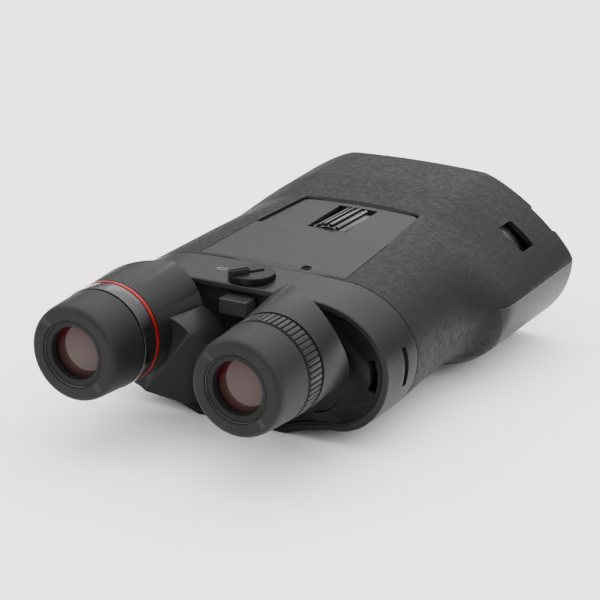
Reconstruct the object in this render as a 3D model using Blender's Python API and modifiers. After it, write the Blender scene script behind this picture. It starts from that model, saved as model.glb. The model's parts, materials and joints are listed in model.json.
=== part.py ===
"""Image-stabilised binoculars with swinging prism arms, modelled as separate named pieces.

Every place is given from the eyepiece datum: X to the user's right, Y forward from the eyecup
faces to the front rim, Z up from the eyepiece axes. The datum empty lifts the model so that it
stands on its keel with its origin under its middle.
"""
import math

import bmesh
import bpy
from mathutils import Matrix, Vector

MM = 0.001

# ---- driving dimensions (millimetres, turned into metres by MM) ----
LENGTH = 213.5 * MM            # eyecup face to front rim
REAR_RIM_Y = 61.8 * MM         # rear edge of the bezel
ARMOUR_Y = 84.5 * MM           # seam between the bezel and the armoured housing
KEEL_Z = -43.0 * MM            # flat underside that the binoculars stand on
WALL = 2.4 * MM                # housing wall
GAP = 0.3 * MM                 # clearance between neighbouring pieces
RIM_ROUND = 0.8 * MM           # rounding of the bezel's rear edge

EYE_X = 35.5 * MM              # half the interpupillary distance as set
PIVOT_X = 21.0 * MM            # arm pivot axes
PIVOT_Z = -13.2 * MM
OBJECTIVE_X = 35.5 * MM        # objective axes
OBJECTIVE_Z = -10.5 * MM
OBJECTIVE_RADIUS = 25.0 * MM   # clear aperture

EYECUP_RADIUS = 19.0 * MM
EYECUP_REAR_RADIUS = EYECUP_RADIUS + 0.95 * MM
EYECUP_LENGTH = 18.7 * MM
BARREL_RADIUS = 12.9 * MM
LENS_RADIUS = 11.2 * MM
LENS_OPENING = 10.4 * MM
SLEEVE_WALL = 1.3 * MM
NECK_Y = 19.0 * MM             # rear end of the arm's neck
CONE_Y = 28.8 * MM             # where the arm's cone starts
CONE_END_Y = 56.0 * MM
CONE_RADIUS = 20.4 * MM
CONE_END_RADIUS = 21.6 * MM
CONE_END_SHIFT = (-1.3 * MM, 1.8 * MM)
RING_RADIUS = EYECUP_REAR_RADIUS + 0.25 * MM   # ribbed dioptre ring and the plain left band
RED_RING_LENGTH = 1.7 * MM

ARM_REAR_Y = 36.1 * MM         # rear face of the arm's base
ARM_DRUM_RADIUS = PIVOT_X - 0.25 * MM   # round about the pivot, the two drums all but touch
ARM_SIDE_OFFSET = 13.7 * MM    # pivot axis to the flat lower side
ARM_COVER_THICKNESS = 1.4 * MM
MIRROR_WAY = Vector((0.79, 0.0, 0.61)).normalized()   # slope direction of both slanted faces
UPPER_CUT_POINT = Vector((EYE_X - 8.9 * MM, CONE_END_Y, 20.9 * MM))
LOWER_CUT_POINT = Vector((PIVOT_X - 14.16 * MM, ARM_REAR_Y, PIVOT_Z + 14.2 * MM))
PRISM_APERTURE = 14.0 * MM
PRISM_REAR_Y = 40.0 * MM

PLATE_Y = 63.6 * MM            # rear face of the rear plate
PLATE_THICKNESS = 2.4 * MM
HINGE_PLATE_Y = 64.4 * MM      # the centre plate lies a little deeper
HINGE_HALF_WIDTH = 32.0 * MM
HINGE_TOP_Z = 16.0 * MM       # trimmed by the bezel wall around it
HINGE_LIP = 0.3 * MM           # ledge the hinge plate is seated in
HINGE_BOSS = (30.7 * MM, -18.3 * MM)
HINGE_BOSS_RADIUS = 13.7 * MM
STOP_BLOCK = (6.2 * MM, 56.4 * MM, 3.8 * MM, 10.2 * MM)   # half width, rear face, bottom, top
HUB_RADIUS = 12.0 * MM
HUB_BORE = 6.5 * MM
GEAR_TEETH = 42                # full circle of the arm sectors
GEAR_HALF_SECTOR = 38.0        # degrees
GEAR_THICKNESS = 2.0 * MM

PANEL_REAR_Y = 86.2 * MM
PANEL_STEP_Y = 126.0 * MM
PANEL_FRONT_Y = 161.7 * MM
PANEL_STEP = 1.0 * MM
WHEEL_Y = (131.5 * MM, 157.5 * MM)
WHEEL_RADIUS = 11.0 * MM
WHEEL_Z = 9.4 * MM
WHEEL_SLOT_HALF = 9.0 * MM
WHEEL_RIBS = 22
SCREW_RADIUS = 2.0 * MM
FOCUS_CARRIAGE_Y = 138.0 * MM
GUIDE_ROD_X = 12.0 * MM
GUIDE_ROD_RADIUS = 1.5 * MM
FOCUS_CELL_RADIUS = 15.0 * MM

SWITCH_PLACE = (0.0, 71.2 * MM)
SWITCH_RADIUS = 9.2 * MM
SWITCH_TOP_Z = 17.6 * MM
SWITCH_HEIGHT = 2.7 * MM
LED_PLACE = (14.7 * MM, 88.2 * MM)
LED_RADIUS = 1.5 * MM

GIMBAL_Y = 104.0 * MM
GIMBAL_Z = -12.0 * MM
GIMBAL_HALF_WIDTH = 55.0 * MM
GIMBAL_HALF_HEIGHT = 18.8 * MM
GIMBAL_CLIP = 7.0 * MM
ROOF_PRISM = (25.0 * MM, 28.0 * MM, 23.0 * MM)
ROOF_PRISM_X = 33.0 * MM
ROOF_PRISM_SHIFT = -0.4 * MM   # balances the yaw coil about the gimbal axes

CELL_RADIUS = 7.2 * MM         # AA batteries
CELL_LENGTH = 50.0 * MM
CELL_X = 8.0 * MM
CELL_Z = -31.2 * MM
FACE_Y = LENGTH - 6.0 * MM      # front side of the front face
TRAY_REAR_Y = FACE_Y - 57.5 * MM
FACE_THICKNESS = 2.6 * MM
DOOR_HALF_OUTLINE = (          # upright beside the hinge, so that it swings clear
    (16.5 * MM, -39.0 * MM), (15.6 * MM, -31.5 * MM), (10.6 * MM, -24.0 * MM), (10.6 * MM, -21.5 * MM),
)
DOOR_THICKNESS = 2.2 * MM
STRAP_SLOT_Y = (LENGTH - 32.0 * MM, LENGTH - 21.0 * MM)
TUBE_REAR_Y = FACE_Y - 51.0 * MM      # narrow rear end of the objective tube
TUBE_WIDE_Y = FACE_Y - 13.5 * MM      # where it reaches the width of the lens cell

TRIPOD_Y = 118.0 * MM
TRIPOD_RADIUS = 8.0 * MM
TRIPOD_BORE = 3.1 * MM

ROUND = 32                     # facets of the round outer pieces
ROUND_INNER = 16               # facets of the small and inner round pieces
ROUND_LENS = 24                # facets of the barrels, lenses and cells
ARC_STEPS = 7                  # points along each flank curve of the body section

# Body section stations: y, crown z, shoulder (x, z), flank (x, z), upper curve power,
# lobe bottom (x, z), lower curve power
STATIONS = (
    (REAR_RIM_Y, 14.5, (31.4, 14.1), (64.9, -11.9), 2.00, (40.9, -37.6), 2.0),
    (ARMOUR_Y, 16.4, (33.5, 15.6), (66.0, -10.2), 1.90, (41.5, -36.8), 2.0),
    (108.0 * MM, 17.8, (33.0, 16.9), (64.8, -10.0), 1.85, (41.0, -35.2), 2.0),
    (128.0 * MM, 18.9, (32.5, 18.0), (64.6, -9.8), 1.75, (41.0, -34.8), 2.0),
    (LENGTH - 77.5 * MM, 19.2, (32.4, 18.3), (65.6, -9.4), 1.65, (41.0, -34.9), 2.0),
    (LENGTH - 71.5 * MM, 19.5, (32.3, 18.5), (68.4, -8.9), 1.50, (41.3, -36.0), 1.95),
    (LENGTH - 66.5 * MM, 19.7, (32.2, 18.8), (72.0, -8.5), 1.38, (41.7, -38.2), 1.9),
    (LENGTH - 62.0 * MM, 19.9, (32.2, 18.9), (73.8, -8.3), 1.32, (42.0, -39.6), 1.9),
    (LENGTH - 57.5 * MM, 20.1, (32.1, 19.1), (74.1, -8.2), 1.30, (42.0, -40.0), 1.9),
    (LENGTH - 50.5 * MM, 20.5, (32.0, 19.4), (74.1, -8.0), 1.30, (42.0, -40.0), 1.9),
    (LENGTH - 29.5 * MM, 24.9, (31.8, 23.6), (74.1, -7.4), 1.30, (42.0, -40.0), 1.9),
    (LENGTH, 26.5, (31.4, 25.6), (74.1, -6.8), 1.30, (42.0, -40.0), 1.9),
)
KEEL_EDGE_X = 28.5 * MM
KEEL_EDGE_Z = -40.0 * MM
KEEL_HALF_WIDTH = 20.0 * MM

PARTS = None
CUTTERS = None
DATUM = None


# ---- scene and material helpers ----
def clear_scene():
    for obj in list(bpy.data.objects):
        bpy.data.objects.remove(obj, do_unlink=True)


def new_collection(name):
    collection = bpy.data.collections.new(name)
    bpy.context.scene.collection.children.link(collection)
    return collection


def material(name, colour, roughness, metallic=0.0):
    mat = bpy.data.materials.new(name)
    mat.use_nodes = True
    shader = mat.node_tree.nodes["Principled BSDF"]
    shader.inputs["Base Color"].default_value = (*colour, 1.0)
    shader.inputs["Roughness"].default_value = roughness
    shader.inputs["Metallic"].default_value = metallic
    return mat


FINISHES = {
    "armour": ((0.020, 0.020, 0.021), 0.62, 0.0),
    "plastic": ((0.018, 0.018, 0.019), 0.45, 0.0),
    "gloss": ((0.008, 0.008, 0.009), 0.16, 0.0),
    "rubber": ((0.030, 0.030, 0.031), 0.75, 0.0),
    "red": ((0.55, 0.03, 0.02), 0.28, 0.9),
    "glass": ((0.35, 0.16, 0.13), 0.06, 0.0),
    "metal": ((0.46, 0.46, 0.47), 0.35, 1.0),
    "brass": ((0.62, 0.45, 0.20), 0.35, 1.0),
    "board": ((0.02, 0.13, 0.05), 0.5, 0.0),
    "cell": ((0.10, 0.11, 0.12), 0.3, 0.6),
}


def add_object(name, mesh, finish, origin=(0.0, 0.0, 0.0)):
    obj = bpy.data.objects.new(name, mesh)
    PARTS.objects.link(obj)
    obj.parent = DATUM
    obj.location = origin
    colour, roughness, metallic = FINISHES[finish]
    mesh.materials.clear()
    mesh.materials.append(material(name, colour, roughness, metallic))
    return obj


def as_cutter(obj):
    PARTS.objects.unlink(obj)
    CUTTERS.objects.link(obj)
    obj.hide_render = True
    obj.display_type = "WIRE"
    return obj


def mesh_from(name, build):
    """Runs a bmesh building function and stores its result as a mesh."""
    bm = bmesh.new()
    build(bm)
    bmesh.ops.recalc_face_normals(bm, faces=bm.faces)
    mesh = bpy.data.meshes.new(name)
    bm.to_mesh(mesh)
    bm.free()
    return mesh


def smooth(mesh, angle=35.0):
    mesh.shade_smooth()
    mesh.set_sharp_from_angle(angle=math.radians(angle))
    return mesh


# ---- shape helpers ----
def turned(name, profile, finish, origin=(0.0, 0.0, 0.0), steps=ROUND, axis="Y"):
    """Turns a profile of (place along the axis, radius) points about an axis through origin."""
    solid_core = profile[0][1] == 0.0 and profile[-1][1] == 0.0
    loop = list(profile)
    area = 0.0
    for (a0, r0), (a1, r1) in zip(loop, loop[1:] + loop[:1]):
        area += a0 * r1 - a1 * r0
    if area < 0.0:
        loop.reverse()
    slot = {"X": 0, "Y": 1, "Z": 2}[axis]
    verts = []
    for along, radius in loop:
        point = [0.0, 0.0, 0.0]
        point[slot] = along
        point[1 if axis == "X" else 0] = radius
        verts.append(tuple(point))
    edges = [(i, i + 1) for i in range(len(verts) - 1)]
    if not solid_core:
        edges.append((len(verts) - 1, 0))
    mesh = bpy.data.meshes.new(name)
    mesh.from_pydata(verts, edges, [])
    obj = add_object(name, mesh, finish, origin)
    screw = obj.modifiers.new("turn", "SCREW")
    screw.axis = axis
    screw.steps = steps
    screw.render_steps = steps
    screw.use_merge_vertices = True
    screw.merge_threshold = 0.00001
    screw.use_smooth_shade = True
    return obj


def tube(name, y_from, y_to, outer, inner, finish, origin, steps=ROUND, axis="Y"):
    profile = [(y_from, inner), (y_from, outer), (y_to, outer), (y_to, inner)]
    return turned(name, profile, finish, origin, steps, axis)


def rod(name, start, end, radius, finish, origin, steps=ROUND_INNER, axis="Y"):
    profile = [(start, 0.0), (start, radius), (end, radius), (end, 0.0)]
    return turned(name, profile, finish, origin, steps, axis)


def box(name, low, high, finish, origin=(0.0, 0.0, 0.0), bevel=0.0):
    size = [h - l for l, h in zip(low, high)]
    centre = [(h + l) / 2 - o for l, h, o in zip(low, high, origin)]

    def build(bm):
        place = Matrix.Translation(centre) @ Matrix.Diagonal((*size, 1.0))
        bmesh.ops.create_cube(bm, size=1.0, matrix=place)

    obj = add_object(name, mesh_from(name, build), finish, origin)
    if bevel:
        add_bevel(obj, bevel)
    return obj


def add_bevel(obj, width, segments=1):
    bevel = obj.modifiers.new("bevel", "BEVEL")
    bevel.width = width
    bevel.segments = segments
    bevel.limit_method = "ANGLE"
    bevel.angle_limit = math.radians(40)
    return bevel


def prism(name, outline, start, end, finish, origin=(0.0, 0.0, 0.0), axis="Y"):
    """Extrudes a closed outline along an axis; the outline lies in the other two axes."""
    def place(a, b, along):
        point = {"Y": (a, along, b), "X": (along, a, b), "Z": (a, b, along)}[axis]
        return Vector(point) - Vector(origin)

    def build(bm):
        near = [bm.verts.new(place(a, b, start)) for a, b in outline]
        face = bm.faces.new(near)
        grown = bmesh.ops.extrude_face_region(bm, geom=[face])
        moved = [v for v in grown["geom"] if isinstance(v, bmesh.types.BMVert)]
        shift = place(0.0, 0.0, end) - place(0.0, 0.0, start)
        bmesh.ops.translate(bm, verts=moved, vec=shift)

    return add_object(name, mesh_from(name, build), finish, origin)


def arc(centre, radius, start_deg, end_deg, steps):
    points = []
    for i in range(steps + 1):
        angle = math.radians(start_deg + (end_deg - start_deg) * i / steps)
        points.append((centre[0] + radius * math.cos(angle), centre[1] + radius * math.sin(angle)))
    return points


def cut(obj, cutter, operation="DIFFERENCE"):
    boolean = obj.modifiers.new(operation.lower(), "BOOLEAN")
    boolean.operation = operation
    boolean.object = cutter
    return obj


def half_space(name, point, normal, size=0.2):
    """A large block whose one face passes through point and whose body lies along normal."""
    normal = Vector(normal).normalized()
    turn = normal.to_track_quat("Z", "Y").to_matrix().to_4x4()
    place = Matrix.Translation(Vector(point) + normal * size / 2) @ turn

    def build(bm):
        bmesh.ops.create_cube(bm, size=size, matrix=place)

    return as_cutter(add_object(name, mesh_from(name, build), "plastic"))


def mirrored(point, side):
    return (point[0] * side, *point[1:])


def side_name(side):
    return "right" if side > 0 else "left"


# ---- body section ----
def station_at(y):
    """Section values at any place along the body, straight between the stations."""
    rows = STATIONS
    y = min(max(y, rows[0][0]), rows[-1][0])
    for low, high in zip(rows, rows[1:]):
        if y <= high[0]:
            break
    t = (y - low[0]) / (high[0] - low[0])

    def mix(a, b):
        if isinstance(a, tuple):
            return tuple(mix(p, q) for p, q in zip(a, b))
        return a + (b - a) * t

    return tuple(mix(a, b) for a, b in zip(low[1:], high[1:]))


def flank(start, end, power, steps):
    """Points of a superellipse quarter from a level start to an upright end."""
    points = []
    for i in range(steps + 1):
        angle = math.pi / 2 * i / steps
        across = math.sin(angle) ** (2 / power)
        along = math.cos(angle) ** (2 / power)
        points.append((start[0] + (end[0] - start[0]) * across, end[1] + (start[1] - end[1]) * along))
    return points


def section(y, inset=0.0):
    """Closed outline of the body at y, moved inwards by inset."""
    crown, shoulder, side, upper, bottom, lower = station_at(y)
    shoulder = tuple(v * MM for v in shoulder)
    side = tuple(v * MM for v in side)
    bottom = tuple(v * MM for v in bottom)
    crown = crown * MM
    half = [(0.0, crown), (shoulder[0] * 0.5, (crown * 3 + shoulder[1]) / 4)]
    half += flank(shoulder, side, upper, ARC_STEPS)
    low_side = flank(bottom, side, lower, ARC_STEPS)
    half += low_side[::-1][1:]
    half += [(KEEL_EDGE_X, KEEL_EDGE_Z), (KEEL_HALF_WIDTH, KEEL_Z), (0.0, KEEL_Z)]
    ring = half + [(-x, z) for x, z in half[-2:0:-1]]
    if not inset:
        return ring
    moved = []
    count = len(ring)
    for i, point in enumerate(ring):
        before = Vector(ring[i - 1])
        after = Vector(ring[(i + 1) % count])
        here = Vector(point)
        first = (here - before).normalized()
        second = (after - here).normalized()
        inward = Vector((first.y + second.y, -first.x - second.x)).normalized()
        lean = max(0.5, inward.dot(Vector((first.y, -first.x))))
        moved.append(tuple(here + inward * inset / lean))
    return moved


def body_solid(name, y_from, y_to, inset=0.0, round_rear=0.0):
    """Closed loft of the body between two places."""
    places = [y_from] + [row[0] for row in STATIONS if y_from + MM < row[0] < y_to - MM] + [y_to]
    rings = [(y, section(y, inset)) for y in places]
    if round_rear:
        rings[0] = (y_from, section(y_from, round_rear))
        rings.insert(1, (y_from + round_rear * 0.3, section(y_from, round_rear * 0.3)))
        rings.insert(2, (y_from + round_rear, section(y_from + round_rear)))

    def build(bm):
        loops = [[bm.verts.new((x, y, z)) for x, z in ring] for y, ring in rings]
        for near, far in zip(loops, loops[1:]):
            count = len(near)
            for i in range(count):
                j = (i + 1) % count
                bm.faces.new((near[i], near[j], far[j], far[i]))
        bm.faces.new(loops[0])
        bm.faces.new(loops[-1])

    return add_object(name, smooth(mesh_from(name, build)), "armour")


def panel_outline(grow=0.0):
    """Plan of the top panel: wide at the rear, stepped, with clipped front corners."""
    half = [
        (33.3 * MM + grow, PANEL_REAR_Y - grow),
        (31.0 * MM + grow, PANEL_STEP_Y),
        (30.2 * MM + grow, PANEL_STEP_Y + 1.5 * MM),
        (27.0 * MM + grow, PANEL_FRONT_Y - 2.0 * MM),
        (25.5 * MM + grow, PANEL_FRONT_Y + grow),
    ]
    return half + [(-x, y) for x, y in reversed(half)]


def lower_region(shift):
    """Side view, as (y, z), of what belongs to the lower housing."""
    far = 0.05
    return [
        (LENGTH + far, -6.4 * MM + shift), (LENGTH - 68.1 * MM - shift, -8.4 * MM + shift),
        (LENGTH - 60.3 * MM - shift, -28.0 * MM + shift),
        (LENGTH - 62.5 * MM - shift, -31.5 * MM + shift),
        (ARMOUR_Y - far, -31.5 * MM + shift), (ARMOUR_Y - far, -0.1), (LENGTH + far, -0.1),
    ]


def strap_slot_cutter(name, side, y_low, y_high, depth):
    """A block square to the sloping front flank, over the strap slot's length and width."""
    middle = Vector((58.8 * MM * side, (y_low + y_high) / 2, 8.2 * MM))
    slope = math.radians(48.0) * side
    place = Matrix.Translation(middle) @ Matrix.Rotation(slope, 4, "Y")
    size = Matrix.Diagonal((14.0 * MM, y_high - y_low, depth, 1.0))

    def build(bm):
        bmesh.ops.create_cube(bm, size=1.0, matrix=place @ size)

    return as_cutter(add_object(name, mesh_from(name, build), "plastic"))


def build_housings():
    inner = as_cutter(body_solid("cut_inner", REAR_RIM_Y - 5 * MM, LENGTH + 5 * MM, WALL))
    outline = panel_outline(GAP)
    opening = as_cutter(prism("cut_panel_opening", outline, 5 * MM, 60 * MM, "plastic", axis="Z"))
    upper = body_solid("upper_housing", ARMOUR_Y + GAP / 2, LENGTH)
    cut(upper, inner)
    keep_low = as_cutter(prism("cut_lower", lower_region(GAP / 2), -0.1, 0.1, "plastic", axis="X"))
    cut(upper, keep_low)
    cut(upper, opening)
    for side in (1, -1):
        tag = side_name(side)
        cut(upper, strap_slot_cutter("cut_strap_" + tag, side, *STRAP_SLOT_Y, 30 * MM))
        notch = strap_slot_cutter("cut_notch_" + tag, side, LENGTH - 1.9 * MM, LENGTH + 5 * MM, 30 * MM)
        cut(upper, notch)
    lower = body_solid("lower_housing", ARMOUR_Y + GAP / 2, LENGTH)
    lower.data.materials[0] = material("lower_housing", *FINISHES["plastic"])
    cut(lower, inner)
    keep = as_cutter(prism("cut_keep_lower", lower_region(-GAP / 2), -0.1, 0.1, "plastic", axis="X"))
    cut(lower, keep, "INTERSECT")
    bush = (0.0, TRIPOD_Y, KEEL_Z)
    hole = rod("cut_bush", -5 * MM, 5 * MM, TRIPOD_RADIUS + GAP, "metal", bush, axis="Z")
    cut(lower, as_cutter(hole))
    panel = body_solid("top_panel", PANEL_REAR_Y - 3 * MM, PANEL_FRONT_Y + 3 * MM)
    panel.data.materials[0] = material("top_panel", *FINISHES["plastic"])
    cut(panel, inner)
    plan = prism("cut_panel_plan", panel_outline(0.0), 5 * MM, 60 * MM, "plastic", axis="Z")
    cut(panel, as_cutter(plan), "INTERSECT")
    build_panel_cuts(panel)


def build_panel_cuts(panel):
    """Lowers the panel's front field and opens it for the focus wheel and the lamp."""
    front_crown = station_at(PANEL_FRONT_Y)[0] * MM
    step_crown = station_at(PANEL_STEP_Y)[0] * MM
    tilt = math.atan2(front_crown - step_crown, PANEL_FRONT_Y - PANEL_STEP_Y)
    outline = [
        (PANEL_STEP_Y, step_crown - PANEL_STEP), (PANEL_FRONT_Y + 9 * MM, front_crown - PANEL_STEP
                                                  + math.tan(tilt) * 9 * MM),
        (PANEL_FRONT_Y + 9 * MM, 0.06), (PANEL_STEP_Y, 0.06),
    ]
    cut(panel, as_cutter(prism("cut_panel_step", outline, -0.05, 0.05, "plastic", axis="X")))
    low = (-WHEEL_SLOT_HALF, WHEEL_Y[0] - MM, 0.0)
    high = (WHEEL_SLOT_HALF, WHEEL_Y[1] + MM, 0.06)
    cut(panel, as_cutter(box("cut_wheel_slot", low, high, "plastic")))
    lamp = rod("cut_lamp", 0.0, 0.06, LED_RADIUS + GAP, "glass", (*LED_PLACE, 0.0), axis="Z")
    cut(panel, as_cutter(lamp))


def build_bezel():
    """Band behind the armour; its rear wall carries the strap slots and frames the hinge plate."""
    wall_end = PLATE_Y + PLATE_THICKNESS
    bezel = body_solid("rear_bezel", REAR_RIM_Y, ARMOUR_Y - GAP / 2, round_rear=RIM_ROUND)
    bezel.data.materials[0] = material("rear_bezel", *FINISHES["plastic"])
    cut(bezel, as_cutter(body_solid("cut_bezel_inside", wall_end, ARMOUR_Y + 5 * MM, WALL)))
    cut(bezel, as_cutter(body_solid("cut_bezel_recess", REAR_RIM_Y - 5 * MM, PLATE_Y, WALL)))
    cut(bezel, hinge_plate_solid("cut_hinge_opening", GAP, 50 * MM, 80 * MM, WALL + HINGE_LIP))
    for side in (1, -1):
        tag = side_name(side)
        low = (60.0 * MM, 74.5 * MM, -19.0 * MM)
        high = (75.0 * MM, 77.3 * MM, -3.5 * MM)
        if side < 0:
            low, high = (-high[0], *low[1:]), (-low[0], *high[1:])
        cut(bezel, as_cutter(box("cut_bezel_slot_" + tag, low, high, "plastic")))
        slot = prism("cut_rear_slot_" + tag, rear_slot_outline(side), 50 * MM, 80 * MM, "plastic")
        cut(bezel, as_cutter(slot))
    cut(bezel, as_cutter(turned("cut_switch_seat", switch_seat_profile(), "plastic", (*SWITCH_PLACE, 0.0),
                                ROUND, "Z")))


def switch_seat_profile():
    """Round seat of the power switch with the hole for its spindle."""
    seat = SWITCH_TOP_Z - SWITCH_HEIGHT - GAP
    hole = 3.0 * MM
    wide = SWITCH_RADIUS + GAP
    return [(0.0, 0.0), (0.0, hole), (seat, hole), (seat, wide), (0.05, wide), (0.05, 0.0)]


def rear_slot_outline(side):
    """Curved strap slot in the rear wall, between two arcs about the lobe's middle."""
    middle = (40.5 * MM, -12.7 * MM)
    outer = arc(middle, 19.2 * MM, 22.0, -20.0, 6)
    inner = arc(middle, 16.0 * MM, -20.0, 22.0, 6)
    return [(x * side, z) for x, z in outer + inner]


def hinge_plate_solid(name, grow, y_from, y_to, inset):
    """Centre plate between the lobes, widened by a round boss on each side."""
    half = HINGE_HALF_WIDTH + grow
    boss_x = HINGE_BOSS[0]
    spread = math.degrees(math.acos((HINGE_HALF_WIDTH - boss_x) / (HINGE_BOSS_RADIUS + grow)))
    edge = arc(HINGE_BOSS, HINGE_BOSS_RADIUS + grow, -spread, spread, 12)
    right = [(half, KEEL_Z)] + edge + [(half, HINGE_TOP_Z + grow)]
    left = [(-x, z) for x, z in reversed(right)]
    plate = prism(name, right + left, y_from, y_to, "plastic")
    limit = body_solid(name + "_limit", y_from - 5 * MM, y_to + 5 * MM, inset)
    cut(plate, as_cutter(limit), "INTERSECT")
    return as_cutter(plate) if name.startswith("cut") else plate


def build_hinge_plate():
    end = PLATE_Y + PLATE_THICKNESS
    plate = hinge_plate_solid("hinge_plate", 0.0, HINGE_PLATE_Y, end, WALL + HINGE_LIP + GAP)
    for side in (1, -1):
        tag = side_name(side)
        place = (PIVOT_X * side, 0.0, PIVOT_Z)
        hole = rod("cut_hub_" + tag, 50 * MM, 80 * MM, HUB_RADIUS + GAP, "plastic", place, ROUND)
        cut(plate, as_cutter(hole))
    half, rear, bottom, top = STOP_BLOCK
    box("arm_stop_block", (-half, rear, bottom), (half, HINGE_PLATE_Y - GAP, top), "plastic", bevel=0.5 * MM)


# ---- front ----
def build_front():
    outline = section(FACE_Y - 2 * MM, WALL + GAP)
    face = prism("front_face", outline, FACE_Y - FACE_THICKNESS, FACE_Y, "plastic")
    for side in (1, -1):
        tag = side_name(side)
        place = (OBJECTIVE_X * side, 0.0, OBJECTIVE_Z)
        hole_radius = OBJECTIVE_RADIUS + 1.4 * MM
        hole = rod("cut_face_" + tag, FACE_Y - 9 * MM, FACE_Y + 9 * MM, hole_radius, "plastic", place, ROUND)
        cut(face, as_cutter(hole))
        build_objective(tag, place)
    opening = prism("cut_door", door_outline(GAP), FACE_Y - 9 * MM, FACE_Y + 9 * MM, "plastic")
    cut(face, as_cutter(opening))
    build_battery()


def door_outline(grow):
    """Battery door between the objectives, narrowing towards its hinged top edge."""
    middle_z = (DOOR_HALF_OUTLINE[0][1] + DOOR_HALF_OUTLINE[-1][1]) / 2
    right = []
    for x, z in DOOR_HALF_OUTLINE:
        right.append((x + grow, z + math.copysign(grow, z - middle_z)))
    return right + [(-x, z) for x, z in reversed(right)]


def build_objective(tag, place):
    aperture = OBJECTIVE_RADIUS
    front = FACE_Y + 1.5 * MM
    cell = [
        (front, aperture - 1.2 * MM), (front, aperture + 1.1 * MM), (front - 9 * MM, aperture + 1.1 * MM),
        (front - 9 * MM, aperture), (front - 1.5 * MM, aperture),
        (front - 2.5 * MM, aperture - 1.2 * MM),
    ]
    turned(tag + "_objective_ring", cell, "plastic", place)
    rear = front - 14 * MM
    lens = [
        (rear, 0.0), (rear + 0.8 * MM, aperture - 0.4 * MM), (rear + 4.5 * MM, aperture - 0.4 * MM),
        (rear + 6.1 * MM, aperture * 0.6), (rear + 6.9 * MM, aperture * 0.25), (rear + 7.0 * MM, 0.0),
    ]
    turned(tag + "_objective_lens", lens, "glass", place)
    tube_front = front - 9 * MM - GAP
    tube_profile = [
        (TUBE_REAR_Y, 18.6 * MM), (TUBE_REAR_Y, 20.0 * MM), (TUBE_WIDE_Y, aperture + 1.1 * MM),
        (tube_front, aperture + 1.1 * MM), (tube_front, aperture - 0.1 * MM),
        (rear, aperture - 0.1 * MM),
        (rear - 0.4 * MM, aperture - 2.2 * MM),
    ]
    turned(tag + "_objective_tube", tube_profile, "metal", place)


def build_battery():
    top = DOOR_HALF_OUTLINE[-1][1]
    hinge = (0.0, FACE_Y - DOOR_THICKNESS / 2, top - DOOR_THICKNESS / 2)
    door = prism("battery_door", door_outline(0.0), FACE_Y - DOOR_THICKNESS, FACE_Y, "plastic", hinge)
    add_bevel(door, 0.6 * MM)
    tray_front = FACE_Y - FACE_THICKNESS - GAP
    floor = CELL_Z - CELL_RADIUS - GAP
    base = KEEL_Z + WALL + GAP
    wall = 0.9 * MM
    half = CELL_X + CELL_RADIUS + GAP
    outline = [(-half - wall, base), (half + wall, base), (half + wall, CELL_Z - 1 * MM),
               (half, CELL_Z - 1 * MM), (half, floor), (-half, floor), (-half, CELL_Z - 1 * MM),
               (-half - wall, CELL_Z - 1 * MM)]
    prism("battery_tray", outline, TRAY_REAR_Y, tray_front, "plastic")
    contact_low = (-half + GAP, TRAY_REAR_Y + 0.2 * MM, floor + GAP)
    contact_high = (half - GAP, TRAY_REAR_Y + 0.9 * MM, CELL_Z + 4 * MM)
    box("battery_contact", contact_low, contact_high, "metal")
    start = TRAY_REAR_Y + 1.2 * MM
    for side in (1, -1):
        place = (CELL_X * side, 0.0, CELL_Z)
        rod(side_name(side) + "_battery", start, start + CELL_LENGTH, CELL_RADIUS, "cell", place)


# ---- eyepieces and prism arms ----
def build_eyepiece(side):
    tag = side_name(side)
    place = (EYE_X * side, 0.0, 0.0)
    mouth = BARREL_RADIUS + GAP
    sleeve_in = BARREL_RADIUS + GAP + 0.1 * MM
    sleeve_out = sleeve_in + SLEEVE_WALL
    inner_tube = sleeve_out + GAP
    end = EYECUP_LENGTH
    cup = [
        (0.0, mouth), (0.0, EYECUP_RADIUS - 2.6 * MM), (0.8 * MM, EYECUP_RADIUS - 0.8 * MM),
        (3.0 * MM, EYECUP_RADIUS), (end, EYECUP_REAR_RADIUS), (end, EYECUP_REAR_RADIUS - 1.6 * MM),
        (8.0 * MM, EYECUP_RADIUS - 1.2 * MM), (8.0 * MM, inner_tube + 1.4 * MM),
        (17.5 * MM, inner_tube + 1.4 * MM), (17.5 * MM, inner_tube), (8.5 * MM, inner_tube),
        (8.5 * MM, mouth),
    ]
    turned(tag + "_eyecup", cup, "rubber", place)
    tube(tag + "_eyecup_sleeve", 8.5 * MM + GAP, 27.5 * MM, sleeve_out, sleeve_in, "plastic", place,
         ROUND_INNER)
    barrel_seat = sleeve_out
    barrel = [
        (1.0 * MM, LENS_OPENING), (1.0 * MM, BARREL_RADIUS), (27.8 * MM, BARREL_RADIUS),
        (27.8 * MM, barrel_seat), (31.0 * MM, barrel_seat), (31.0 * MM, LENS_OPENING - 0.4 * MM),
        (12.0 * MM, LENS_OPENING - 0.4 * MM), (12.0 * MM, LENS_RADIUS + 0.1 * MM),
        (4.3 * MM, LENS_RADIUS + 0.1 * MM), (4.3 * MM, LENS_OPENING),
    ]
    turned(tag + "_eyepiece_barrel", barrel, "metal", place, ROUND_LENS)
    lens_edge = LENS_RADIUS - 0.2 * MM
    eye_lens = [
        (4.7 * MM, 0.0), (4.9 * MM, lens_edge * 0.5), (5.6 * MM, lens_edge), (8.6 * MM, lens_edge),
        (9.6 * MM, lens_edge * 0.5), (9.9 * MM, 0.0),
    ]
    turned(tag + "_eye_lens", eye_lens, "glass", place, ROUND_LENS)
    build_rings(side, tag, place)


def neck_radii():
    bore = BARREL_RADIUS + GAP + 0.1 * MM + SLEEVE_WALL + GAP
    return bore, bore + 2.2 * MM


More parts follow.
